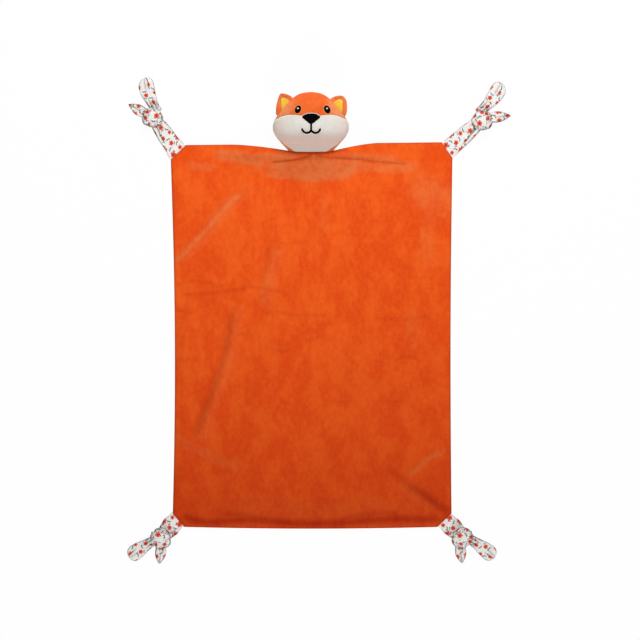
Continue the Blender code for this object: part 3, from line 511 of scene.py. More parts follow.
# folds in the laid cloth: width, height above the cloth or below it, how pale the pile is painted there (brushed
# pile, and a painted highlight along ridges) or, below zero, how dark its painted shade is, and the X and Y of points
# along each. Lengths are in tenths of a millimetre
clothFolds = {
    "left crease under the neck": (60, -10, -0.15, 36, 2600, -100, 2545, -250, 2510, -400, 2490, -640, 2468),
    "left crease line": (28, -9, -0.75, 40, 2606, -100, 2548, -250, 2512, -400, 2492, -580, 2474),
    "root of the left crease": (48, -6, -0.5, 20, 2590, -100, 2545, -240, 2510),
    "right crease under the neck": (60, -10, -0.15, 36, 2600, 158, 2553, 373, 2531, 700, 2512, 958, 2477, 1400, 2450),
    "right crease line": (24, -9, -0.6, 36, 2604, 158, 2555, 373, 2533, 700, 2515, 958, 2480, 1380, 2454),
    "deep part of the right crease": (40, -5, -0.5, 700, 2508, 900, 2482, 1180, 2464),
    "left roll above its crease": (90, 12, 0.0, -150, 2620, -500, 2570, -900, 2580, -1350, 2560),
    "right roll above its crease": (90, 10, 0.0, 200, 2620, 600, 2590, 1050, 2570, 1500, 2540),
    "left tan strip": (130, 8, 0.75, -1450, 2600, -1150, 2570, -850, 2520, -540, 2450),
    "left tan strip's middle": (110, 0, 0.7, -900, 2560, -600, 2540, -300, 2560, -100, 2590),
    "right tan strip": (120, 0, 0.62, 200, 2480, 500, 2440, 850, 2420, 1200, 2400, 1600, 2420),
    "tan strip over the right crease": (85, 0, 0.55, 260, 2560, 500, 2555, 900, 2540, 1300, 2530),
    "shade in the left tan strip": (110, 0, -0.16, -1240, 2550, -900, 2540, -600, 2530),
    "left foot of the fan": (75, 0, 0.9, -660, 2310, -440, 2290, -240, 2290),
    "far left patch": (90, 6, 0.5, -1820, 2440, -1650, 2420, -1450, 2405, -1300, 2410),
    "pale upper right": (360, 0, 0.45, 1200, 2200, 1500, 2120, 1850, 1900, 1950, 1500),
    "upper left diagonal": (150, 27, 0.22, -800, 2160, -954, 2033, -1193, 1866, -1480, 1507, -1861, 1101, -1960, 960),
    "brushed top of the diagonal": (54, 3, 0.8, -980, 2040, -1210, 1860, -1490, 1530, -1870, 1120, -1950, 1000),
    "short middle wrinkle": (36, -6, -0.22, -619, 1350, -400, 1310, -230, 1325, -93, 1300),
    "left wrinkle": (42, -9, -0.26, -1960, 720, -1740, 765, -1574, 768, -1400, 720, -1240, 694),
    "second left wrinkle": (44, -10, -0.28, -1900, 560, -1600, 600, -1240, 620, -858, 690, -550, 640, -333, 599),
    "wrinkle at half length": (40, -7, -0.22, -700, 320, -500, 330, -240, 290, 60, 285, 241, 278),
    "right wrinkle": (42, -9, -0.25, 863, 251, 1150, 225, 1437, 241, 1700, 290, 1867, 320),
    "upper right wrinkle": (36, -5, -0.12, 320, 1480, 600, 1440, 860, 1400, 950, 1300),
    "long left ridge": (140, 32, 0.24, -1060, 500, -1110, 1, -1210, -404, -1380, -883, -1640, -1604),
    "groove beside the ridge": (130, -20, -0.27, -1190, 400, -1216, 1, -1320, -404, -1490, -883, -1720, -1500),
    "second left ridge": (140, 22, 0.26, -460, 1350, -540, 1000, -620, 700, -720, 300),
    "lower left diagonal": (100, 22, 0.32, -1990, -1380, -1957, -1457, -1718, -1600, -1384, -1767, -1000, -1900),
    "lower right diagonal": (62, 20, 0.5, 1960, -1600, 1867, -1672, 1675, -1767, 1484, -1934, 1350, -2030),
    "fold to the lower right corner": (95, -20, -0.2, 980, -1880, 1200, -1990, 1410, -2125, 1747, -2340, 1960, -2508),
    "its wide end": (120, -8, -0.42, 1350, -2080, 1500, -2190, 1700, -2330, 1900, -2500, 2060, -2640),
    "beside the lower right fold": (120, 18, 0.2, 1230, -2120, 1450, -2270, 1700, -2430, 1850, -2560),
    "groove above the hem": (100, -16, -0.46, -1900, -2560, -1550, -2680, -1070, -2650, -750, -2645, -450, -2676,
                             120, -2700, 650, -2666, 1220, -2627, 1600, -2640, 1900, -2600),
    "left half of the groove": (90, -6, -0.3, -1350, -2600, -1100, -2570, -900, -2600, -600, -2640),
    "right half of the groove": (100, -6, -0.3, 400, -2640, 700, -2600, 1000, -2560, 1350, -2580),
    "swell above the hem": (160, 14, 0.1, -1300, -2440, -500, -2480, 400, -2480, 1200, -2400),
    "upper right ridge": (160, 14, 0.2, 1850, 2200, 1720, 1800, 1650, 1300, 1700, 900),
    "right middle ridge": (140, 12, 0.2, 1500, 400, 1430, 100, 1500, -300),
    "lower middle wrinkle": (60, -5, -0.12, 560, -330, 640, -450, 500, -560, 400, -700),
    "groove beside the second ridge": (80, -10, -0.24, -600, 1300, -680, 980, -760, 680),
    "left short wrinkle": (36, -6, -0.26, -1080, 10, -960, 20, -840, 0),
    "lower left wrinkle": (40, -6, -0.22, -660, -160, -480, -220, -300, -230),
    "right edge wrinkle": (40, -7, -0.26, 1180, -350, 1380, -310, 1560, -340),
    "low middle wrinkle": (36, -6, -0.24, 240, -920, 420, -960, 600, -940),
    "low right wrinkle": (36, -5, -0.2, 980, -930, 1150, -960, 1300, -930),
    "wrinkle at the left edge": (40, -7, -0.26, -1970, 330, -1850, 350, -1740, 330),
    "low left wrinkle": (40, -6, -0.22, -1950, -380, -1780, -350, -1600, -370),
    "middle streak": (100, 10, 0.18, 180, 2080, 170, 1800, 200, 1350),
}
# the pale fan under the neck, brushed pile with a painted sheen on its slope: its middle, half width and foot, how
# its sides sway and its foot wanders
fan = {"middle": 0.0065, "side": 0.0780, "foot": 0.2225, "soft": 0.0022, "footSoft": 0.0070, "tone": 0.85,
       "sway": 0.010, "swayTurns": 210.0,
       "wander": ((0.0034, 53.0, 0.8), (0.0022, 131.0, 2.1), (0.0010, 287.0, 0.4), (0.0006, 611.0, 0.0)),
       "creaseLine": [(-0.0900, 0.2440), (-0.0580, 0.2474), (-0.0400, 0.2492), (-0.0250, 0.2512), (-0.0100, 0.2547),
                      (0.0036, 0.2600), (0.0158, 0.2555), (0.0373, 0.2533), (0.0700, 0.2515), (0.0958, 0.2480),
                      (0.1400, 0.2450)]}
middleLevel = cloth["backLayer"] + cloth["gap"] / 2
halfWidth, halfLength = cloth["width"] / 2, cloth["length"] / 2


def topEdge(x):
    reach = np.where(x < 0, cloth["leftDip"], cloth["rightDip"])
    neck = cloth["neckWidth"] / 2
    dip = (1.0 - np.clip((np.abs(x) - neck) / (reach - neck), 0.0, 1.0)) ** cloth["dipPower"]
    return halfLength + cloth["slant"] * x / halfWidth * (1.0 - dip) - cloth["neckDip"] * dip


def bottomEdge(x):
    return -halfLength - cloth["sag"] * (1.0 - (x / halfWidth) ** 2)


def sideFlare(down):
    spread = cloth["flare"] * (1.0 - down) ** 2 - cloth["drawIn"] * np.sin(math.pi * down)
    return 1.0 + spread / halfWidth


def sideReach(x, down):
    # how far out the side edge is, the left one drawn in more
    return halfWidth * sideFlare(down) - cloth["leftDrawIn"] * (x < 0) * np.sin(0.85 * math.pi * down)


def tentHeight(x, below):
    # the neck seam holds the edge up, and the cloth comes down from there
    raised = (cloth["neckLift"] * smoothStep(np.abs(x), cloth["liftReach"], cloth["neckWidth"] / 2)
              * smoothStep(below, cloth["tentDepth"], 0.0))
    creaseAt = cloth["creaseStart"] + cloth["creaseSlope"] * np.minimum(np.abs(x), cloth["creaseReach"])
    crease = (cloth["creaseDepth"] * softBump(below, creaseAt, cloth["creaseStart"])
              * smoothStep(np.abs(x), cloth["creaseReach"], 0.0))
    return raised - np.minimum(crease, raised)


def foldRelief(x, y):
    # what the folds add to the laid cloth, how pale they paint the pile and how dark their painted shade is, fading
    # at their ends
    total, pale, dark = np.zeros_like(x), np.zeros_like(x), np.zeros_like(x)
    for width, height, tone, *points in clothFolds.values():
        width, height = width / 10000, height / 10000
        points = smoothRows(np.reshape(points, (-1, 2)) / 10000, 24)
        steps = np.linalg.norm(np.diff(points, axis=0), axis=1)
        reached = np.concatenate([[0.0], np.cumsum(steps)])
        near = np.full_like(x, 1e9)
        along = np.zeros_like(x)
        for start, end, before, step in zip(points, points[1:], reached, steps):
            run = (end - start) / step
            share = np.clip((x - start[0]) * run[0] + (y - start[1]) * run[1], 0.0, step)
            away = np.hypot(x - start[0] - run[0] * share, y - start[1] - run[1] * share)
            closer = away < near
            near = np.where(closer, away, near)
            along = np.where(closer, before + share, along)
        ends = smoothStep(along, 0.0, width * 1.4) * smoothStep(reached[-1] - along, 0.0, width * 1.8)
        profile = smoothStep(near, width, 0.0) * ends
        total += height * profile
        pale = np.maximum(pale, tone * smoothStep(near, width, width * 0.3) * ends)
        dark = np.maximum(dark, -tone * profile)
    return total, pale, dark


def fanUnderPinch(x, y):
    # below the two creases the pile is painted pale, brushed the other way and with a painted sheen on the slope,
    # down to an uneven lower edge
    creaseLine = np.interp(x, *np.array(fan["creaseLine"]).T)
    reach = fan["side"] + fan["sway"] * np.sin(y * fan["swayTurns"])
    sides = smoothStep(np.abs(x - fan["middle"]), reach, reach * 0.60)
    inside = smoothStep(creaseLine - y, 0.0, fan["soft"]) * sides
    wander = sum(high * np.sin(x * turns + shift) for high, turns, shift in fan["wander"])
    return fan["tone"] * inside * smoothStep(y - fan["foot"] + wander, -fan["footSoft"] / 2, fan["footSoft"])


def gentleWaves(x, y):
    # cloth never lies quite flat: a few long low waves, none of them repeated
    return sum(high * np.sin(a * x + b * y + shift) for a, b, shift, high in longWaves)


def cornerSeam(corner):
    # middle, outward direction and length of the slanted edge that a tie is sewn to
    sideX, sideY = (-1 if "left" in corner else 1), (1 if "top" in corner else -1)
    cutX, cutY = cornerCuts[corner]
    edgeX = halfWidth * float(sideFlare(0.0 if sideY > 0 else 1.0))
    edge = topEdge if sideY > 0 else bottomEdge
    edgeY = float(edge(np.array(sideX * halfWidth)))
    middle = Vector((sideX * (edgeX - cutX / 2), edgeY - sideY * cutY / 2, middleLevel))
    return middle, Vector((sideX * cutY, sideY * cutX, 0.0)).normalized(), math.hypot(cutX, cutY)


def makeLayer(name, upward, node, columns, rows):
    bm = bmesh.new()
    bmesh.ops.create_grid(bm, x_segments=columns, y_segments=rows, size=1.0)
    flat = np.array([vert.co[:2] for vert in bm.verts])
    x = halfWidth * (flat[:, 0] * (1 + cloth["crowding"]) - cloth["crowding"] * flat[:, 0] ** 3)
    down = (1.0 - flat[:, 1]) / 2
    down = down - cloth["crowdingDown"] * cloth["crowding"] * np.sin(fullTurn * down) / fullTurn
    top, bottom = topEdge(x), bottomEdge(x)
    for vert, a, b in zip(bm.verts, x * sideReach(x, down) / halfWidth, top + (bottom - top) * down):
        vert.co = (a, b, 0.0)
    seams = [cornerSeam(corner) for corner in cornerCuts]
    for middle, outward, _ in seams:
        cutOff(bm, (middle.x, middle.y, 0.0), outward)
    raised = bmesh.ops.extrude_face_region(bm, geom=bm.faces[:])
    outer = {item for item in raised["geom"] if isinstance(item, bmesh.types.BMVert)}

    place = np.array([vert.co[:2] for vert in bm.verts])
    x, y = place[:, 0], place[:, 1]
    top, bottom = topEdge(x), bottomEdge(x)
    down = np.clip((top - y) / (top - bottom), 0.0, 1.0)
    inset = np.minimum.reduce([sideReach(x, down) - np.abs(x), top - y, y - bottom] + [
        (middle.x - x) * outward.x + (middle.y - y) * outward.y for middle, outward, _ in seams])
    inset = np.maximum(inset, 0.0)
    level = middleLevel + tentHeight(x, top - y)
    layer = cloth["frontLayer"] if upward else cloth["backLayer"]
    rounded = np.sqrt(1.0 - (1.0 - np.minimum(inset / cloth["taper"], 1.0)) ** 2)
    thick = layer * (cloth["edgeShare"] + (1.0 - cloth["edgeShare"]) * rounded)
    relief, pale, dark = foldRelief(x, y)
    if upward:
        thick += cloth["allowanceRise"] * softBump(inset, cloth["allowance"] / 2, cloth["allowance"] / 2)
        thick += (relief + cloth["waves"] * gentleWaves(x, y) + cloth["plump"]) * smoothStep(inset, 0.001, 0.012)
    half = cloth["gap"] / 2
    for index, vert in enumerate(bm.verts):
        away = half + (max(thick[index], cloth["leastLayer"]) if vert in outer else 0.0)
        vert.co.z = level[index] + (away if upward else -away)
        if not upward:
            vert.co.z = max(vert.co.z, 0.0)
    turnOutward(bm)
    facing = facingOf(bm)
    piece = finishPiece(name, bm, "orangePlush", [node])
    # painted sheen: the pile is painted paler on slopes that face away from the head, and where the folds brush it
    # its pale tips show
    if upward:
        slope = smoothStep(-facing[:, 1], 0.10, 0.50) * smoothStep(inset, 0.001, 0.006)
        pale = np.maximum(pale, fanUnderPinch(x, y))
        paint(piece, "pileTipsAndPaintedSheen", np.clip(pale + cloth["paintedSlopeSheen"] * slope, 0.0, 1.0))
        # painted shade: folds, steep sides and the rim are painted darker, and towards the foot the colour darkens
        shade = cloth["paintedFoldShade"] * dark + cloth["paintedSideShade"] * smoothStep(facing[:, 2], 0.80, 0.10)
        shade = shade + cloth["paintedRimShade"] * smoothStep(inset, cloth["rimReach"], 0.0)
        paint(piece, "shade", np.clip(shade + cloth["footTone"] * down ** 2, 0.0, 1.0))
    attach(piece, "blanket")
    print(name, len(piece.data.polygons), "faces")


makeLayer("blanketBackPanel", False, "blanket_back_panel", 96, 136)
makeLayer("blanketFrontPanel", True, "blanket_front_panel", 176, 268)


# head

head = {
    "width": 0.1102, "height": 0.0860, "depth": 0.0665, "neckRadius": 0.004, "power": 2.15,
    "columns": 52, "muzzleRows": 40, "crownRows": 34, "seamDepth": 0.0008, "sideSeamDepth": 0.0003,
    "shell": 0.0011, "pressure": 3500.0, "puffCap": 0.0020, "startInset": 0.0004, "floor": 0.0003,
    "held": 0.012, "bendBefore": 0.001, "bendAfter": 0.009, "tips": 0.85, "paintedSideShade": 0.55, "paintedChinShade": 0.30,
    "stuffingInset": 0.0019, "stuffingFloor": 0.002, "stuffingStart": 0.006,
}
# how the plush gives when it is blown up
clothGives = {"quality": 6, "mass": 0.3, "tension_stiffness": 5, "compression_stiffness": 5, "shear_stiffness": 2.5,
              "bending_stiffness": 0.02, "use_pressure": True}
# the head's outline from the tongue inside the neck seam to the crown: height share, half width share,
# then the height shares of the front, the middle and the back above the ground
headRows = [
    (-0.050, 0.425, 0.338, 0.338, 0.338), (-0.030, 0.460, 0.342, 0.338, 0.334), (-0.006, 0.530, 0.350, 0.338, 0.326),
    (0.014, 0.583, 0.377, 0.338, 0.299), (0.044, 0.623, 0.405, 0.339, 0.272), (0.070, 0.657, 0.452, 0.342, 0.236),
    (0.100, 0.700, 0.520, 0.348, 0.182), (0.144, 0.768, 0.615, 0.362, 0.115), (0.202, 0.857, 0.740, 0.390, 0.048),
    (0.269, 0.935, 0.845, 0.420, 0.008), (0.337, 0.985, 0.915, 0.440, -0.018), (0.404, 1.000, 0.960, 0.450, -0.024),
    (0.472, 0.988, 0.990, 0.455, -0.024), (0.530, 0.950, 1.000, 0.460, -0.024), (0.590, 0.880, 0.985, 0.465, -0.020),
    (0.656, 0.800, 0.955, 0.470, -0.010), (0.724, 0.720, 0.905, 0.470, 0.020), (0.808, 0.615, 0.820, 0.465, 0.090),
    (0.880, 0.505, 0.720, 0.460, 0.180), (0.937, 0.385, 0.630, 0.455, 0.270), (0.980, 0.225, 0.540, 0.452, 0.365),
    (1.000, 0.000, 0.4525, 0.4525, 0.4525),
]
# the muzzle's seam from the middle to the side: half width share and height share
muzzleSeam = [(0.0, 0.575), (0.18, 0.588), (0.38, 0.606), (0.58, 0.612), (0.76, 0.590), (0.90, 0.552), (1.02, 0.520),
              (1.30, 0.500)]
# how far in front of the outline the side seam runs, in degrees, by height share: it shows beside the chin
sideSeam = [(-0.05, 20.0), (-0.01, 44.0), (0.01, 44.0), (0.055, 34.0), (0.093, 25.0), (0.15, 16.0), (0.20, 8.0),
            (0.27, 1.0), (1.0, 0.0)]
neckPlace = Vector(jointOf["head"]["pos_m"])
neckEdge = neckPlace.y - head["neckRadius"]
seamCurve = smoothRows([(-x, y) for x, y in muzzleSeam[:0:-1]] + muzzleSeam, 200)


def seamHeight(x):
    share = np.interp((x - neckPlace.x) / (head["width"] / 2), seamCurve[:, 0], seamCurve[:, 1])
    return neckEdge + head["height"] * share


def headColumn(share, front):
    # closely spaced points from the neck to the crown, from the left side seam at 0 to the right one at 1
    keys = np.asarray(headRows, float)
    mirrored = keys[-2] * np.array([1, -1, 1, 1, 1])
    mirrored[0] = 2.0 - mirrored[0]
    mirrored[[2, 4]] = mirrored[[4, 2]]
    keys = np.vstack([2 * keys[0] - keys[1], keys, mirrored])
    along, wide, high, middle, low = throughKeys(keys, np.linspace(1, len(headRows), 700)).T
    seam = np.radians(np.interp(along, *np.array(sideSeam).T))
    angle = seam + (math.pi - 2 * seam) * (1 - share) if front else math.pi - seam + (math.pi + 2 * seam) * share
    rise = roundPower(np.sin(angle), head["power"])
    x = neckPlace.x + head["width"] / 2 * wide * roundPower(np.cos(angle), head["power"])
    z = head["depth"] * (middle + np.where(rise > 0, high - middle, middle - low) * rise)
    return np.stack([x, neckEdge + head["height"] * along, np.maximum(z, head["floor"])], axis=1)


def evenly(points, count):
    steps = travelled(points)
    wanted = np.linspace(0.0, steps[-1], count)
    return np.stack([np.interp(wanted, steps, points[:, axis]) for axis in range(3)], axis=1)


def addPanel(bm, columns, panel):
    # a grid whose columns run along the head, laid over the points given
    wide, high = len(columns) - 1, len(columns[0]) - 1
    grid = bmesh.ops.create_grid(bm, x_segments=wide, y_segments=high, size=1.0)["verts"]
    for face in {face for vert in grid for face in vert.link_faces}:
        face.material_index = panel
    for vert in grid:
        vert.co = columns[round((vert.co.x + 1.0) / 2 * wide)][round((vert.co.y + 1.0) / 2 * high)]


def puffUp(piece, pinned, pressure, cap, frames=20):
    # cloth held at its seams and blown up from inside, then fixed as it is
    before = np.array([vert.co[:] for vert in piece.data.vertices])
    group = piece.vertex_groups.new(name="seams")
    group.add([int(index) for index in pinned], 1.0, "REPLACE")
    fill = piece.modifiers.new("fill", "CLOTH")
    for key, value in clothGives.items():
        setattr(fill.settings, key, value)
    fill.settings.vertex_group_mass = group.name
    fill.settings.uniform_pressure_force = pressure
    fill.settings.effector_weights.gravity = 0.0
    fill.point_cache.frame_end = frames
    for number in range(1, frames + 1):
        bpy.context.scene.frame_set(number)
    blown = piece.evaluated_get(bpy.context.evaluated_depsgraph_get())
    moved = np.array([vert.co[:] for vert in blown.data.vertices]) - before
    bpy.context.scene.frame_set(1)
    piece.modifiers.remove(fill)
    length = np.linalg.norm(moved, axis=1, keepdims=True)
    placed = before + moved * np.minimum(1.0, cap / np.maximum(length, 1e-9))
    placed[:, 2] = np.maximum(placed[:, 2], head["floor"])
    piece.data.vertices.foreach_set("co", placed.ravel())
    piece.data.update()
    print(piece.name, "puffed up by", round(float(length.mean()) * 1000, 2), "mm on average, at most",
          round(float(length.max()) * 1000, 2), "mm before the limit")


def makeWholeHead():
    muzzle, crown, back = [], [], []
    for share in np.linspace(0.0, 1.0, head["columns"] + 1):
        for front in (True, False):
            points = headColumn(share, front)
            past = np.nonzero(points[:, 1] > seamHeight(points[:, 0]))[0][0]
            lower = evenly(points[:past + 1], head["muzzleRows"])
            upper = evenly(points[past:], head["crownRows"])
            if front:
                muzzle.append(lower)
                crown.append(upper)
            else:
                back.append(np.vstack([lower, upper[1:]]))
    bm = bmesh.new()
    for panel, columns in enumerate((muzzle, crown, back)):
        addPanel(bm, columns, panel)
    bmesh.ops.remove_doubles(bm, verts=bm.verts, dist=0.00002)
    bmesh.ops.dissolve_degenerate(bm, edges=bm.edges, dist=0.00001)
    turnOutward(bm)
    bm.normal_update()
    bm.verts.index_update()
    touching = {vert: {face.material_index for face in vert.link_faces} for vert in bm.verts}
    seams = {vert for vert, panels in touching.items() if len(panels) > 1}
    held = neckEdge + head["held"]
    pinned = {vert.index for vert in bm.verts if vert.co.y < held or vert.co.z < 2 * head["floor"] or vert in seams}
    normals = [vert.normal.copy() for vert in bm.verts]
    for vert, normal in zip(bm.verts, normals):
        if vert.co.y > held:
            depth = 0.0
            if vert in seams:
                depth = head["sideSeamDepth"] if 2 in touching[vert] else head["seamDepth"]
            vert.co -= normal * (head["startInset"] + depth)
    whole = linkNew("wholeHead", meshFrom("wholeHead", bm))
    puffUp(whole, sorted(pinned), head["pressure"], head["puffCap"])
    return whole


def blendAtNeck(piece):
    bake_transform(piece)


def cutPanel(whole, name, panel, finish, node):
    bm = editable(whole.data)
    bmesh.ops.delete(bm, geom=[face for face in bm.faces if face.material_index != panel], context="FACES")
    for face in bm.faces:
        face.material_index = 0
    facing = facingOf(bm)
    aside = np.abs(np.array([vert.co.x for vert in bm.verts]) - neckPlace.x) / (head["width"] / 2)
    piece = finishPiece(name, bm, finish, [node])
    # painted sheen: the pile is painted paler at the sides and towards the chin, by which way the surface faces
    level = np.abs(facing[:, 2])
    turned = smoothStep(level, 0.99, 0.75) * smoothStep(aside, 0.34, 0.66)
    paint(piece, "pileTipsAndPaintedSheen", head["tips"] * np.maximum(turned, smoothStep(-facing[:, 1], 0.25, 0.80)))
    # painted shade: the sideways rim and the underside towards the chin are painted darker
    paint(piece, "shade", np.clip(head["paintedSideShade"] * smoothStep(level, 0.22, 0.0)
                                  + head["paintedChinShade"] * smoothStep(-facing[:, 1], 0.35, 0.90), 0.0, 1.0))
    shell = piece.modifiers.new("shell", "SOLIDIFY")
    shell.thickness = head["shell"]
    shell.offset = -1.0
    if panel == 1:
        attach(piece, "head")
    else:
        blendAtNeck(piece)


def makeStuffing(whole):
    bm = editable(whole.data)
    cutOff(bm, (0.0, neckPlace.y + head["stuffingStart"], 0.0), (0.0, -1.0, 0.0))
    bmesh.ops.holes_fill(bm, edges=[edge for edge in bm.edges if edge.is_boundary], sides=0)
    bmesh.ops.triangulate(bm, faces=[face for face in bm.faces if len(face.verts) > 4])
    turnOutward(bm)
    for face in bm.faces:
        face.material_index = 0
    facing = facingOf(bm)
    for vert, normal in zip(bm.verts, facing):
        vert.co -= Vector(normal) * head["stuffingInset"]
        vert.co.z = max(vert.co.z, head["stuffingFloor"])
    piece = finishPiece("headStuffing", bm, "fibreFill", ["head_stuffing"])
    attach(piece, "head")


wholeHead = makeWholeHead()
cutPanel(wholeHead, "muzzlePanel", 0, "whitePlush", "muzzle_panel")
cutPanel(wholeHead, "headCrownPanel", 1, "headPlush", "head_crown_panel")
cutPanel(wholeHead, "headBackPanel", 2, "headPlush", "head_back_panel")
makeStuffing(wholeHead)
headSurface = surfaceOf(wholeHead)
bpy.data.objects.remove(wholeHead)
print("head made")


# face embroidery

stitching = {"eyeWidth": 0.0087, "eyeHeight": 0.0121, "eyeTilt": 25.0, "thread": 0.0011, "halo": 0.0018,
             "haloThread": 0.0005, "glint": 0.0026, "glintRise": 0.0014, "noseWidth": 0.0262, "noseHeight": 0.0152,
             "faceShift": 0.0006, "eyeShift": (0.0026, -0.0013), "noseDrop": 0.0016,
             "line": 0.0030, "mouthWidth": 0.0276, "philtrum": 0.0084, "smileDrop": 0.0044, "smileRise": 0.0006,
             "smileEnd": 0.92, "smilePower": 0.6, "lineLift": 0.0006, "rimLift": -0.0014,
             "lift": 0.0002, "noseThick": 1.3, "noseMiddle": 0.62, "noseRim": (1.10, 1.14),
             "glintThread": 0.0006, "under": 0.0006}
# half of the nose's outline from its top to its bottom, as shares of its width and height
noseOutline = [(0.0, 1.0), (-0.22, 0.970), (-0.40, 0.84), (-0.50, 0.68), (-0.45, 0.54), (-0.28, 0.30), (-0.13, 0.08),
               (0.0, 0.0)]
faceHeight = partial(heightOn, headSurface, otherwise=0.03)


def makePatch(name, outline, middle, thick, lift, finish, nodes=(), rings=12):
    # a low dome over a closed outline, following the face under it
    sides = len(outline)
    bm = bmesh.new()
    bmesh.ops.create_uvsphere(bm, u_segments=sides, v_segments=rings * 2, radius=1.0)
    for vert in bm.verts:
        polar = math.acos(max(-1.0, min(1.0, vert.co.z)))
        side = round(math.atan2(vert.co.y, vert.co.x) / fullTurn * sides) % sides
        reach = max(math.sin(polar), 0.0) ** 0.8
        x = middle[0] + (outline[side][0] - middle[0]) * reach
        y = middle[1] + (outline[side][1] - middle[1]) * reach
        high = (thick if polar < math.pi / 2 else stitching["under"]) * math.cos(polar)
        vert.co = (x, y, faceHeight(x, y) + lift + high)
    bmesh.ops.remove_doubles(bm, verts=bm.verts, dist=0.000005)
    turnOutward(bm)
    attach(finishPiece(name, bm, finish, nodes), "head")


def oval(middle, width, height, tilt, count=40):
    turn = Matrix.Rotation(math.radians(tilt), 2)
    angles = [fullTurn * step / count for step in range(count)]
    return [tuple(turn @ Vector((width / 2 * math.cos(angle), height / 2 * math.sin(angle))) + Vector(middle))
            for angle in angles]


def middleOf(node):
    low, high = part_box(node)
    return (low[0] + high[0]) / 2, (low[1] + high[1]) / 2


def makeEyes():
    for side, name in ((-1, "left"), (1, "right")):
        middle = tuple(np.add(middleOf(name + "_eye"), stitching["eyeShift"]))
        wide, high, tilt = stitching["eyeWidth"], stitching["eyeHeight"], side * stitching["eyeTilt"]
        rim = oval(middle, wide + stitching["halo"], high + stitching["halo"], tilt)
        makePatch(name + "EyeRim", rim, middle, stitching["haloThread"], 0.0, "apricotThread")
        makePatch(name + "Eye", oval(middle, wide, high, tilt), middle, stitching["thread"], stitching["lift"],
                  "blackThread", [name + "_eye"])
        glint = (middle[0] - 0.0002, middle[1] + stitching["glintRise"])
        makePatch(name + "EyeHighlight", oval(glint, stitching["glint"], stitching["glint"] * 0.9, tilt, 20), glint,
                  stitching["glintThread"], stitching["thread"] + 0.00005, "whiteThread",
                  [name + "_eye_highlight"], rings=6)


def makeNose(bottom):
    keys = np.array(noseOutline + [(-x, y) for x, y in noseOutline[-2:0:-1]])
    ring = np.vstack([keys[-1], keys, keys[0], keys[1]])
    points = throughKeys(ring, np.linspace(1, len(keys) + 1, 240, endpoint=False))
    points = points * (stitching["noseWidth"], stitching["noseHeight"]) + (faceMiddle, bottom)
    middle = np.array([faceMiddle, bottom + stitching["noseMiddle"] * stitching["noseHeight"]])
    # the dome's sides are evenly turned round its middle, so the outline is read by angle
    angles = np.mod(np.arctan2(*(points - middle).T[::-1]), fullTurn)
    order = np.argsort(angles)
    wanted = np.linspace(0, fullTurn, 64, endpoint=False)
    outline = np.stack([np.interp(wanted, angles[order], points[order, axis], period=fullTurn)
                        for axis in (0, 1)], axis=1)
    grown = middle + (outline - middle) * stitching["noseRim"]
    makePatch("noseRim", grown, middle, stitching["haloThread"], 0.0, "creamThread")
    makePatch("noseEmbroidery", outline, middle, stitching["thread"] * stitching["noseThick"], stitching["lift"],
              "blackThread", ["nose"])


def mouthPaths(bottom):
    fork = bottom - stitching["philtrum"]
    paths = [[(0.0, bottom + 0.0012), (0.0, bottom - stitching["philtrum"] / 2), (0.0, fork + 0.0004)]]
    for side in (-1, 1):
        arc = []
        for share in np.linspace(0.0, 1.0, 15):
            sag = max(math.sin(math.pi * min(share / stitching["smileEnd"], 1.0)), 0.0) ** stitching["smilePower"]
            down = fork - stitching["smileDrop"] * sag
            arc.append((side * stitching["mouthWidth"] / 2 * share, down + stitching["smileRise"] * share ** 2))
        paths.append(arc)
    return paths


def makeStitchLine(name, paths, width, lift, finish, nodes=()):
    # a line of stitches as a round cord let into the face
    data = bpy.data.curves.new(name, "CURVE")
    data.dimensions = "3D"
    data.bevel_depth = width / 2
    data.bevel_resolution = 4
    data.use_fill_caps = True
    for path in paths:
        fine = smoothRows(path, 40)
        spline = data.splines.new("POLY")
        spline.points.add(len(fine) - 1)
        for point, (x, y) in zip(spline.points, fine):
            point.co = (x + faceMiddle, y, faceHeight(x + faceMiddle, y) + lift, 1.0)
    drawn = linkNew(name + "Curve", data)
    bpy.context.view_layer.update()
    bm = editable(bpy.data.meshes.new_from_object(drawn.evaluated_get(bpy.context.evaluated_depsgraph_get())))
    bpy.data.objects.remove(drawn)
    bmesh.ops.remove_doubles(bm, verts=bm.verts, dist=0.00001)
    turnOutward(bm)
    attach(finishPiece(name, bm, finish, nodes), "head")


faceMiddle = neckPlace.x + stitching["faceShift"]
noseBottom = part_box("nose")[0][1] - stitching["noseDrop"]
makeEyes()
makeNose(noseBottom)
mouth = mouthPaths(noseBottom)
makeStitchLine("mouthRim", mouth, stitching["line"] + stitching["halo"], stitching["rimLift"], "creamThread")
makeStitchLine("mouthStitching", mouth, stitching["line"], stitching["lineLift"], "blackThread",
               ["mouth_stitching"])
print("face embroidered")


# soft forms on their own axes

def jointFrame(body):
    # the joint's own directions: X along its axis, Y away from it in the flat, Z up
    joint = jointOf[body]
    axis = Vector(joint["axis"]).normalized()
    up = Vector((0.0, 0.0, 1.0))
    turn = Matrix((axis, up.cross(axis), up)).transposed().to_4x4()
    return Matrix.Translation(Vector(joint["pos_m"])) @ turn


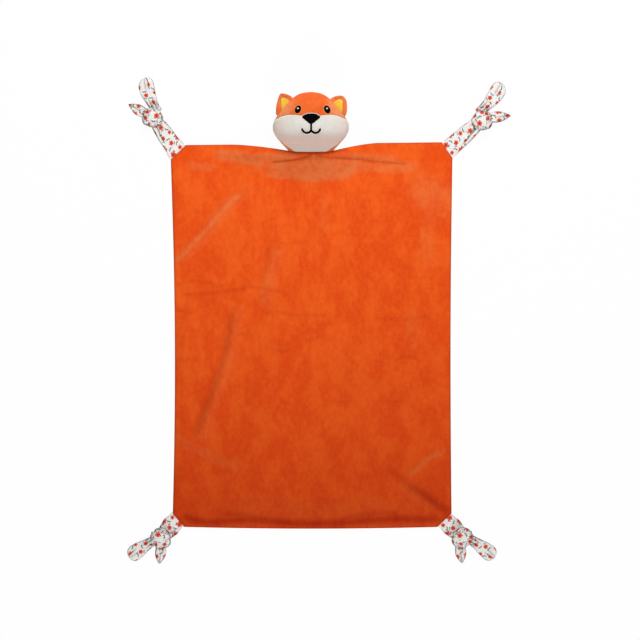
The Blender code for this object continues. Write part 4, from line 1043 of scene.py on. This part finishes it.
def loft(stations, sides, power, shape=None):
    # a closed form through stations: place along, place aside, half width, level, height above and below it.
    # The sphere's rings become the stations, and a shape may then move each point by its place on its ring.
    stations = np.asarray(stations, float)
    rings = len(stations) - 1
    bm = bmesh.new()
    strip = bm.loops.layers.uv.new("strip")
    bmesh.ops.create_uvsphere(bm, u_segments=sides, v_segments=rings, radius=1.0)
    angles = np.arange(sides) * fullTurn / sides
    across, rise = roundPower(np.cos(angles), power), roundPower(np.sin(angles), power)
    grid = np.zeros((rings + 1, sides, 3))
    for ring, (along, aside, half, level, above, below) in enumerate(stations):
        grid[ring, :, 0] = aside + half * across
        grid[ring, :, 1] = along
        grid[ring, :, 2] = level + np.where(rise > 0, above, below) * rise
    if shape:
        shape(grid, across[None, :], rise[None, :], stations[:, :1])
    # the strip's own coordinates: distance round each ring from its top, and distance along
    shift = sides // 2 - sides // 4
    rolled = np.roll(grid, shift, axis=1)
    closed = np.concatenate([rolled, rolled[:, :1]], axis=1)
    girth = np.zeros((rings + 1, sides + 1))
    girth[:, 1:] = np.cumsum(np.linalg.norm(np.diff(closed, axis=1), axis=2), axis=1)
    girth -= girth[:, [sides // 2]]
    down = travelled(stations[:, [0, 1, 3]])
    keys = {}
    for vert in bm.verts:
        ring = round(math.acos(max(-1.0, min(1.0, vert.co.z))) * rings / math.pi)
        side = round(math.atan2(vert.co.y, vert.co.x) / fullTurn * sides) % sides
        keys[vert] = (ring, (side + shift) % sides)
        vert.co = grid[ring].mean(0) if ring in (0, rings) else grid[ring, side]
    for face in bm.faces:
        corners = [(corner, *keys[corner.vert]) for corner in face.loops]
        spread = [side for _, ring, side in corners if 0 < ring < rings]
        if max(spread) - min(spread) > sides // 2:
            corners = [(corner, ring, side + sides if side == 0 else side) for corner, ring, side in corners]
        reach = [girth[ring, side] for _, ring, side in corners if 0 < ring < rings]
        for corner, ring, side in corners:
            corner[strip].uv = (girth[ring, side] if 0 < ring < rings else sum(reach) / len(reach), down[ring])
    turnOutward(bm)
    return bm


def bendAt(piece, first, second, place, before, after):
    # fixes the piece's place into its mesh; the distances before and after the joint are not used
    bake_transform(piece)


# ears

ears = {"thickness": 0.0046, "root": 0.004, "power": 2.3, "cup": 0.0022, "hollow": 0.0009, "sunk": 0.006,
        "base": 0.0368, "liningThick": 0.0008, "liningPower": 2.6, "liningLift": 0.0004, "bend": (0.004, 0.003),
        "tips": 0.40, "paintedSideSheen": 0.60, "paintedSideShade": 0.12}
# outlines of the flaps and their linings: height, and the outer and inner edge as shares of the base's length
earOutlines = {
    "left": [(0.0, -0.440, 0.465), (0.0020, -0.378, 0.458), (0.0040, -0.312, 0.440), (0.0060, -0.240, 0.424),
             (0.0080, -0.160, 0.400), (0.0100, -0.045, 0.370), (0.0120, 0.071, 0.332), (0.0132, 0.155, 0.305),
             (0.0139, 0.225, 0.270)],
    "right": [(0.0, -0.470, 0.390), (0.0020, -0.430, 0.370), (0.0040, -0.392, 0.357), (0.0060, -0.340, 0.337),
              (0.0080, -0.280, 0.304), (0.0100, -0.210, 0.266), (0.0120, -0.125, 0.222), (0.0132, -0.060, 0.180),
              (0.0140, 0.010, 0.125)],
}
liningOutlines = {
    "left": [(-0.0050, -0.250, 0.275), (-0.0017, -0.165, 0.285), (0.0022, -0.060, 0.285), (0.0042, 0.000, 0.265),
             (0.0065, 0.070, 0.228), (0.0084, 0.135, 0.175)],
    "right": [(-0.0050, -0.360, 0.190), (-0.0015, -0.283, 0.200), (0.0020, -0.190, 0.205), (0.0045, -0.109, 0.185),
              (0.0064, -0.050, 0.155), (0.0090, 0.025, 0.085)],
}


def earStations(rows, thin, sign):
    base = ears["base"]
    return [(along, -sign * base * (outer + inner) / 2, base * (inner - outer) / 2, 0.0, thick, thick)
            for (along, outer, inner), thick in zip(rows, thin)]


def makeEar(side, sign):
    place = jointFrame(side + "_ear")
    first, height = earOutlines[side][0], earOutlines[side][-1][0]
    keys = [(-ears["sunk"], first[1] * 1.10, first[2] * 0.94), (-ears["root"] / 2, first[1] * 1.03, first[2])]
    rows = smoothRows(keys + earOutlines[side], 44)
    share = np.clip(rows[:, 0] / height, 0.0, 1.0)
    rounded = np.sqrt(np.clip(1.0 - 0.9 * np.clip(share * 4 - 3, 0, 1) ** 2, 0.02, 1.0))
    thin = ears["thickness"] / 2 * (1.0 - 0.35 * share) * rounded

    def cupped(grid, across, rise, along):
        # the flap's edges curl forward, and a soft roll runs round its rim
        grid[:, :, 2] += ears["cup"] * across ** 2 * smoothStep(along, 0.0, 0.006)
        hollow = ears["hollow"] * smoothStep(np.abs(across), 0.85, 0.35) * (rise > 0)
        grid[:, :, 2] -= hollow * smoothStep(along, -0.001, 0.004) * smoothStep(along / height, 0.97, 0.7)

    bm = loft(earStations(rows, thin, sign), 64, ears["power"], cupped)
    moveBy(bm, place)
    turnThinOutward(bm)
    level = np.abs(facingOf(bm)[:, 2])
    flap = finishPiece(side + "EarBack", bm, "headPlush", [side + "_ear_back"])
    # painted sheen: the flap is painted paler where it turns sideways, and painted shade darkens its steepest edges
    paint(flap, "pileTipsAndPaintedSheen", ears["tips"] + ears["paintedSideSheen"] * smoothStep(level, 0.92, 0.50))
    paint(flap, "shade", ears["paintedSideShade"] * smoothStep(level, 0.10, 0.0))
    bendAt(flap, "head", side + "_ear", place, *ears["bend"])

    # the lining lies in the hollow of the flap
    surface, ground = surfaceOf(flap), place.translation.z
    rows = smoothRows(liningOutlines[side], 26)
    thin = ears["liningThick"] * np.sqrt(np.clip(1.0 - np.linspace(0.0, 1.0, 26) ** 6, 0.02, 1.0))
    bm = loft(earStations(rows, thin, sign), 40, ears["liningPower"])
    outward = np.array([vert.co.y for vert in bm.verts])
    moveBy(bm, place)
    for vert in bm.verts:
        vert.co.z += heightOn(surface, vert.co.x, vert.co.y, ground) - ground + ears["liningLift"]
    turnThinOutward(bm)
    lining = finishPiece(side + "EarLining", bm, "yellowPlush", [side + "_ear_lining"])
    # painted shade: the lining is painted darker near the head and paler towards its tip
    paint(lining, "pileTipsAndPaintedSheen", smoothStep(outward, 0.0, liningOutlines[side][-1][0]))
    bendAt(lining, "head", side + "_ear", place, *ears["bend"])


for side, sign in (("left", -1), ("right", 1)):
    makeEar(side, sign)
print("ears made")


# ties

tie = {
    "width": 0.0250, "gathered": 0.0215, "thick": 0.0034, "sewnThick": 0.0012, "sewnIn": 0.005,
    "knotLength": 0.0290, "knotWidth": 0.0262, "knotHigh": 0.0160, "knotLevel": 0.00775,
    "wrapWidth": 0.0145, "wrapThick": 0.0024, "wrapTurn": 32.0, "wrapLift": 0.0006, "wrapPower": 2.6,
    "neck": 0.0150, "paddle": 0.0225, "paddleThick": 0.0050, "paddleLands": 0.5, "seamAt": 0.05,
    "tail": 0.0160, "tailThick": 0.0044, "tailLands": 0.67, "bandPower": 3.4, "corePower": 2.3, "sleevePower": 2.2,
    "endPower": 2.5, "intoKnot": 0.006, "underKnot": 0.0015, "ground": 0.0004, "paintedEdgeShade": 0.65,
}
# how far the print is shifted on each part of a tie
printShifts = {"band": (0.0, 0.0), "knot": (0.0033, 0.0070), "long_end": (0.0021, 0.0052),
               "short_end": (0.0057, 0.0013)}
# each tie: the band's length and its direction in degrees, how much wider it is, the long end's length and how
# far it curves in degrees, and the short end's length
tieShapes = {
    "top_left": {"band": (0.0599, 125.0, 1.0), "long": (0.0445, -13.0), "short": 0.0270},
    "top_right": {"band": (0.0634, 41.3, 1.0), "long": (0.0465, 12.0), "short": 0.0300},
    "bottom_left": {"band": (0.0339, 226.9, 1.10), "long": (0.0395, 5.0), "short": 0.0240},
    "bottom_right": {"band": (0.0340, 316.5, 1.10), "long": (0.0405, -4.0), "short": 0.0240},
}


def acrossOf(bm, stations):
    # for each point of a loft: how far out it is, from -1 to 1, how far along, and whether it is on top
    table = np.array(stations)
    own = np.array([vert.co[:] for vert in bm.verts])
    aside, half, level = (np.interp(own[:, 1], table[:, 0], table[:, column]) for column in (1, 2, 3))
    return (own[:, 0] - aside) / np.maximum(half, 0.002), own[:, 1], own[:, 2] > level


def edgeShade(across, along):
    # painted shade on the strip's folded edges, more in some places than in others
    uneven = 0.70 + 0.30 * np.sin(along * 310.0 + 4.0 * np.sign(across))
    return tie["paintedEdgeShade"] * uneven * smoothStep(np.abs(across), 0.84, 0.99)


def finishTie(corner, part, bm, place, extraShade=0.0):
    # top_left and long_end make the piece topLeftTieLongEnd
    words = (corner + "_tie_" + part).split("_")
    strip = bm.loops.layers.uv["strip"]
    for face in bm.faces:
        for loop in face.loops:
            loop[strip].uv += Vector(printShifts[part])
    moveBy(bm, place)
    for vert in bm.verts:
        vert.co.z = max(vert.co.z, tie["ground"])
    turnOutward(bm)
    name = words[0] + "".join(word.capitalize() for word in words[1:])
    piece = finishPiece(name, bm, "printedCotton", [corner + "_tie_" + part])
    # painted shade in the creases and on the steep sides, with each part's own painted shade added
    hollow, facing = creaseDepth(piece.data)
    shade = smoothStep(hollow, 0.015, 0.15) + 0.9 * smoothStep(np.abs(facing[:, 2]), 0.90, 0.45)
    paint(piece, "shade", np.clip(shade + extraShade, 0.0, 1.0))
    return piece


def makeBand(corner, place, knot, foldSide, spread):
    run = knot.y - tie["intoKnot"]
    slant = knot.x / knot.y
    climb = knot.z - tie["underKnot"]
    half = cornerSeam(corner)[2] / 2 - 0.0006
    full, gathered, thick = tie["width"] / 2 * spread, tie["gathered"] / 2 * spread, tie["thick"] / 2
    keys = [
        (-tie["sewnIn"], half * 0.97, 0.0, 0.0003), (-0.001, half, 0.0, 0.0005),
        (0.0012, half, 0.0, tie["sewnThick"] / 2), (0.005, half * 0.985, 0.02, thick * 0.8),
        (0.012, full * 1.03, 0.10, thick), (run * 0.55, full, 0.45, thick),
        (run * 0.80, gathered * 1.04, 0.80, thick * 1.2), (run, gathered * 0.9, 1.0, thick * 1.6),
    ]
    keys.sort()
    rows = smoothRows(keys, 72)
    stations = [(along, slant * max(along, 0.0), wide, climb * lift, high, high) for along, wide, lift, high in rows]

    def pleated(grid, across, _, along):
        # pleats draw together towards the knot, and one long fold lies along the lower side
        near = smoothStep(along, run * 0.35, run)
        seam = smoothStep(along, 0.014, 0.001) * smoothStep(along, -0.001, 0.001)
        free = smoothStep(along, 0.004, 0.016)
        moved = np.cos(across * 9.0 + 0.8) * 0.0009 * near
        edge = 0.62 - 0.30 * near
        folded = smoothStep(along, run * 0.20, run * 0.60)
        moved = moved - np.tanh((edge + foldSide * across) / 0.05) * 0.0010 * folded
        moved = moved - softBump(foldSide * across, -edge, 0.10) * 0.0012 * folded
        moved = moved + np.cos(across * 16.0) * 0.00022 * seam
        moved = moved + np.sin(along * 260.0) * np.sin(across * 2.3 + 0.5) * 0.00035 * free
        grid[:, :, 2] += moved * smoothStep(np.abs(across), 1.0, 0.8)

    bm = loft(stations, 64, tie["bandPower"], pleated)
    across, along, _ = acrossOf(bm, stations)
    edges = edgeShade(across, along) * smoothStep(along, 0.0, 0.006)
    piece = finishTie(corner, "band", bm, place, edges)
    bendAt(piece, "blanket", corner + "_tie", place, 0.0022, 0.0060)


def wrapRing():
    # a flat turn of the strip bent round the knot
    section, around = 20, 56
    bm = bmesh.new()
    strip = bm.loops.layers.uv.new("strip")
    bmesh.ops.create_circle(bm, segments=section, radius=0.4)
    for vert in bm.verts:
        vert.co = (1.0 + vert.co.x, vert.co.y, 0.0)
    bmesh.ops.spin(bm, geom=bm.verts[:] + bm.edges[:], cent=(0, 0, 0), axis=(0, 1, 0), angle=fullTurn,
                   steps=around, use_merge=True)
    halfWide, halfHigh = tie["knotWidth"] / 2 * 0.97, tie["knotHigh"] / 2 * 0.97
    places = {}
    for vert in bm.verts:
        out = math.hypot(vert.co.x, vert.co.z) - 1.0
        places[vert] = (math.atan2(vert.co.z, vert.co.x), math.atan2(vert.co.y, out))
    for vert, (turn, angle) in places.items():
        outward = Vector((math.cos(turn) / halfWide, 0.0, math.sin(turn) / halfHigh)).normalized()
        broad = tie["wrapWidth"] / 2 * (0.80 + 0.20 * math.sin(turn))
        across = roundPower(math.sin(angle), tie["wrapPower"])
        crease = 0.0005 * math.cos(across * 7.0 + math.sin(turn * 2.0))
        high = tie["wrapThick"] / 2 * roundPower(math.cos(angle), tie["wrapPower"])
        high += crease if math.cos(angle) > 0 else 0.0
        middle = Vector((halfWide * math.cos(turn), broad * across, halfHigh * math.sin(turn)))
        vert.co = middle + outward * (tie["wrapLift"] + high)
    for face in bm.faces:
        turns = [places[corner.vert][0] for corner in face.loops]
        for corner, turn in zip(face.loops, turns):
            if max(turns) - min(turns) > math.pi and turn < 0:
                turn += fullTurn
            corner[strip].uv = (corner.vert.co.y, turn * (halfWide + halfHigh) / 2)
    turnOutward(bm)
    return bm


def makeKnot(corner, knotPlace, bandWay, shortRoot):
    # the core of the knot, the sleeve that the short end comes out of, and the turn that crosses them
    place = Matrix.Translation(knotPlace) @ Matrix.Rotation(math.radians(bandWay - 90.0), 4, "Z")
    half = tie["knotLength"] / 2
    shares = np.linspace(-1.0, 1.0, 40)
    swell = np.sqrt(1.0 - shares ** 2) ** 0.85
    high = tie["knotHigh"] / 2
    stations = [(half * share, 0.0, tie["knotWidth"] / 2 * wide, 0.0, high * 0.80 * wide, high * wide)
                for share, wide in zip(shares, swell)]

    def creased(grid, across, rise, along):
        lines = np.cos(across * 7.5 + 0.6) * 0.0008 * swell[:, None]
        ripple = np.sin(across * 3.0 + along * 280.0) * 0.0006
        grid[:, :, 2] += (lines + ripple) * (rise > 0)

    core = loft(stations, 48, tie["corePower"], creased)
    # the turn that lies on top comes over from the far side, swells on the band's side and ends in the tail
    root = place.inverted() @ shortRoot
    reach = math.hypot(root.x, root.y)
    towards = Matrix.Rotation(math.atan2(-root.x, root.y), 4, "Z")
    bandSide = 1.0 if (towards.inverted() @ Vector((0.0, -1.0, 0.0))).x > 0 else -1.0
    keys = [(-0.0142, 0.0, 0.0030, 0.0024, -0.0030), (-0.0122, 0.0, 0.0072, 0.0044, -0.0012),
            (-0.0060, 0.0006, 0.0094, 0.0056, 0.0014), (0.0010, 0.0018, 0.0108, 0.0062, 0.0022),
            (reach * 0.50, 0.0030, 0.0118, 0.0064, 0.0014), (reach * 0.82, 0.0022, 0.0104, 0.0056, -0.0004),
            (reach * 1.02, 0.0006, 0.0086, 0.0042, -0.0018), (reach * 1.08, 0.0, 0.0064, 0.0026, -0.0022)]
    stations = [(along, bandSide * aside, wide, level, high, high)
                for along, aside, wide, high, level in smoothRows(keys, 44)]

    def wrapped(grid, across, rise, along):
        # long creases run with the turn and draw together at both ends
        drawn = 0.35 + 0.65 * smoothStep(np.abs(along - reach * 0.4), 0.002, 0.010)
        folds = np.cos(across * 8.0 + 0.9) * 0.0008 * drawn
        ripple = np.sin(along * 330.0 + across * 2.0) * 0.0003
        grid[:, :, 2] += (folds + ripple) * (rise > 0) * smoothStep(np.abs(across), 1.0, 0.7)

    sleeve = loft(stations, 48, tie["sleevePower"], wrapped)
    moveBy(sleeve, towards)
    wrap = wrapRing()
    lean = math.radians(tie["wrapTurn"]) * (1 if root.x < 0 else -1)
    moveBy(wrap, Matrix.Rotation(lean, 4, "Z"))
    whole = bmesh.new()
    whole.loops.layers.uv.new("strip")
    for part in (core, sleeve, wrap):
        joined = meshFrom("knotPart", part)
        whole.from_mesh(joined)
        bpy.data.meshes.remove(joined)
    piece = finishTie(corner, "knot", whole, place)
    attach(piece, corner + "_tie")


def makeEnd(corner, part, kind, length, curve, keys, count, sides, relief, shadeOf):
    # either loose end: from the knot down to the ground along a bow, by keys of place, half width and height
    place = jointFrame(corner + "_" + part)
    bow = math.tan(math.radians(curve))
    thick = tie[kind + "Thick"] / 2
    drop = place.translation.z - thick
    rows = smoothRows(keys, count)
    rows[:, 1] = np.maximum(rows[:, 1], 0.0)
    stations = [(length * share, bow * length * share * (1 - share), wide,
                 -drop * min(max(share, 0.0) / tie[kind + "Lands"], 1.0), thick * high, thick * high)
                for share, wide, high in rows]
    bm = loft(stations, sides, tie["endPower"], relief)
    across, along, above = acrossOf(bm, stations)
    shade, seam = shadeOf(across, along, above)
    piece = finishTie(corner, part, bm, place, shade + edgeShade(across, along))
    if seam is not None:
        paint(piece, "seam", seam)
    bendAt(piece, corner + "_tie", corner + "_" + part, place, 0.003, 0.003)


def makeLongEnd(corner, length, curve):
    # a padded paddle: gathered at the knot, widest past its middle, round at the tip
    neck, full, seamAt = tie["neck"] / 2, tie["paddle"] / 2, tie["seamAt"]
    keys = [(-0.16, neck * 0.9, 1.15), (-0.05, neck * 0.98, 1.25), (0.0, neck, 1.3),
            (0.10, neck + (full - neck) * 0.06, 1.2), (0.24, neck + (full - neck) * 0.26, 1.1),
            (0.42, neck + (full - neck) * 0.66, 1.0), (0.60, full * 0.985, 0.95), (0.76, full, 0.95),
            (0.86, full * 0.90, 0.85), (0.93, full * 0.70, 0.7), (0.98, full * 0.38, 0.5), (1.0, 0.0, 0.25)]

    def gathered(grid, across, rise, along):
        # gathers fan out of the knot, and the joining seam shows as a low ridge near the tip
        fan = smoothStep(along / length, 0.55, 0.0)
        moved = np.cos(across * 10.0 + 0.5) * 0.0010 * fan * smoothStep(along, -0.006, 0.002)
        moved = moved + np.sin(along * 210.0 + across * 1.5) * 0.00035 * smoothStep(along / length, 0.25, 0.5)
        grid[:, :, 2] += moved * smoothStep(np.abs(across), 1.0, 0.75) * np.where(rise > 0, 1.0, 0.3)
        ridge = softBump(across, seamAt, 0.16) - 0.8 * softBump(np.abs(across - seamAt), 0.26, 0.14)
        grid[:, :, 2] += smoothStep(along / length, 0.55, 0.72) * ridge * 0.0006 * (rise > 0)

    def shadeOf(across, along, above):
        # painted shade on both sides of the seam's ridge near the tip; the seam itself is left without print
        tip = smoothStep(along / length, 0.52, 0.66) * above
        return 0.55 * softBump(np.abs(across - seamAt), 0.24, 0.13) * tip, softBump(across, seamAt, 0.22) * tip

    makeEnd(corner, "long_end", "paddle", length, curve, keys, 80, 64, gathered, shadeOf)


def makeShortEnd(corner, length):
    # a pointed tail: the folded tip of the strip, its two slanted edges meeting along the middle
    full = tie["tail"] / 2
    keys = [(-0.20, full * 0.78, 0.9), (-0.05, full * 0.84, 1.0), (0.12, full * 0.95, 1.0), (0.30, full, 1.0),
            (0.50, full * 0.92, 1.0), (0.70, full * 0.66, 0.9), (0.86, full * 0.36, 0.75), (0.95, full * 0.16, 0.55),
            (1.0, 0.0, 0.25)]

    def folded(grid, across, rise, along):
        step = np.tanh((across - 0.15) / 0.06) * 0.0009 * smoothStep(along / length, 0.95, 0.7)
        step = step - softBump(across, 0.12, 0.16) * 0.0008 * smoothStep(along / length, 0.98, 0.8)
        gathers = np.cos(across * 9.0) * 0.0009 * smoothStep(along / length, 0.45, 0.0)
        grid[:, :, 2] += (step + gathers) * (rise > 0) * smoothStep(np.abs(across), 1.0, 0.75)

    def shadeOf(across, along, above):
        # painted shade darkens the tail towards its tip
        return 0.5 * smoothStep(along / length, 0.62, 0.95), None

    makeEnd(corner, "short_end", "tail", length, 0.0, keys, 56, 48, folded, shadeOf)


def makeTie(corner, shape):
    place = jointFrame(corner + "_tie")
    bandLength, bandWay, spread = shape["band"]
    heading = Vector((math.cos(math.radians(bandWay)), math.sin(math.radians(bandWay)), 0.0))
    knotPlace = place.translation + heading * bandLength
    knotPlace.z = tie["knotLevel"]
    # the band's long fold lies on the side that the short end leaves from
    shortRoot = Vector(jointOf[corner + "_short_end"]["pos_m"])
    knot = place.inverted() @ knotPlace
    foldSide = -1.0 if (place.inverted() @ shortRoot).x > knot.x else 1.0
    makeBand(corner, place, knot, foldSide, spread)
    makeKnot(corner, knotPlace, bandWay, shortRoot)
    makeLongEnd(corner, *shape["long"])
    makeShortEnd(corner, shape["short"])


for corner, shape in tieShapes.items():
    makeTie(corner, shape)
print("ties made")


# stage, light and camera

stage = {"middle": (0.0122, 0.0217), "across": 0.9178, "distance": 14.0, "sensor": 36.0, "floorSize": 30.0,
         "floorTone": (0.90, 0.90, 0.90, 1.0), "floorWhite": 0.965, "world": 0.20}
# each lamp: its place, its size and its power
lamps = {"key": ((0.15, 1.70, 1.45), 0.9, 34.0), "fill": ((0.30, -4.00, 2.20), 2.0, 125.0)}
lampsAim = Vector((0.0, 0.05, 0.0))
white = (1.0, 1.0, 1.0, 1.0)


def seeingRays(tree):
    # one for the rays that show the ground or the sky itself, rather than light something with it
    rays = addNode("ShaderNodeLightPath", {}, tree).outputs
    return plus(plus(rays["Is Camera Ray"], rays["Is Glossy Ray"]), rays["Is Transmission Ray"], clamp=True)


def makeStage():
    bm = bmesh.new()
    bmesh.ops.create_grid(bm, x_segments=1, y_segments=1, size=stage["floorSize"] / 2)
    floor = linkNew("floor", meshFrom("floor", bm))
    paper = bpy.data.materials.new("floorPaper")
    paper.use_nodes = True
    tree = paper.node_tree
    shader = setInputs(tree.nodes["Principled BSDF"], {"Base Color": stage["floorTone"], "Roughness": 0.9})
    glow = addNode("ShaderNodeEmission", {"Color": white, "Strength": 1.0}, tree).outputs[0]
    shown = times(seeingRays(tree), stage["floorWhite"])
    mixed = addNode("ShaderNodeMixShader", {0: shown, 1: shader.outputs[0], 2: glow}).outputs[0]
    setInputs(tree.nodes["Material Output"], {"Surface": mixed})
    floor.data.materials.append(paper)

    world = bpy.data.worlds.new("studio")
    bpy.context.scene.world = world
    world.use_nodes = True
    strength = plus(times(seeingRays(world.node_tree), 1.0 - stage["world"]), stage["world"])
    setInputs(world.node_tree.nodes["Background"], {"Color": white, "Strength": strength})


def makeLamp(name, place, size, power):
    data = bpy.data.lights.new(name, "AREA")
    data.shape = "DISK"
    data.size = size
    data.energy = power
    lamp = linkNew(name, data)
    lamp.location = place
    lamp.rotation_euler = (lampsAim - Vector(place)).to_track_quat("-Z", "Y").to_euler()


def makeCamera():
    data = bpy.data.cameras.new("camera")
    data.sensor_width = stage["sensor"]
    data.lens = stage["sensor"] * stage["distance"] / stage["across"]
    data.clip_end = 100.0
    camera = linkNew("camera", data)
    camera.location = (*stage["middle"], stage["distance"])
    bpy.context.scene.camera = camera


makeStage()
for name, (place, size, power) in lamps.items():
    makeLamp(name, place, size, power)
makeCamera()
bpy.context.scene.view_settings.view_transform = "Standard"
print("stage set")
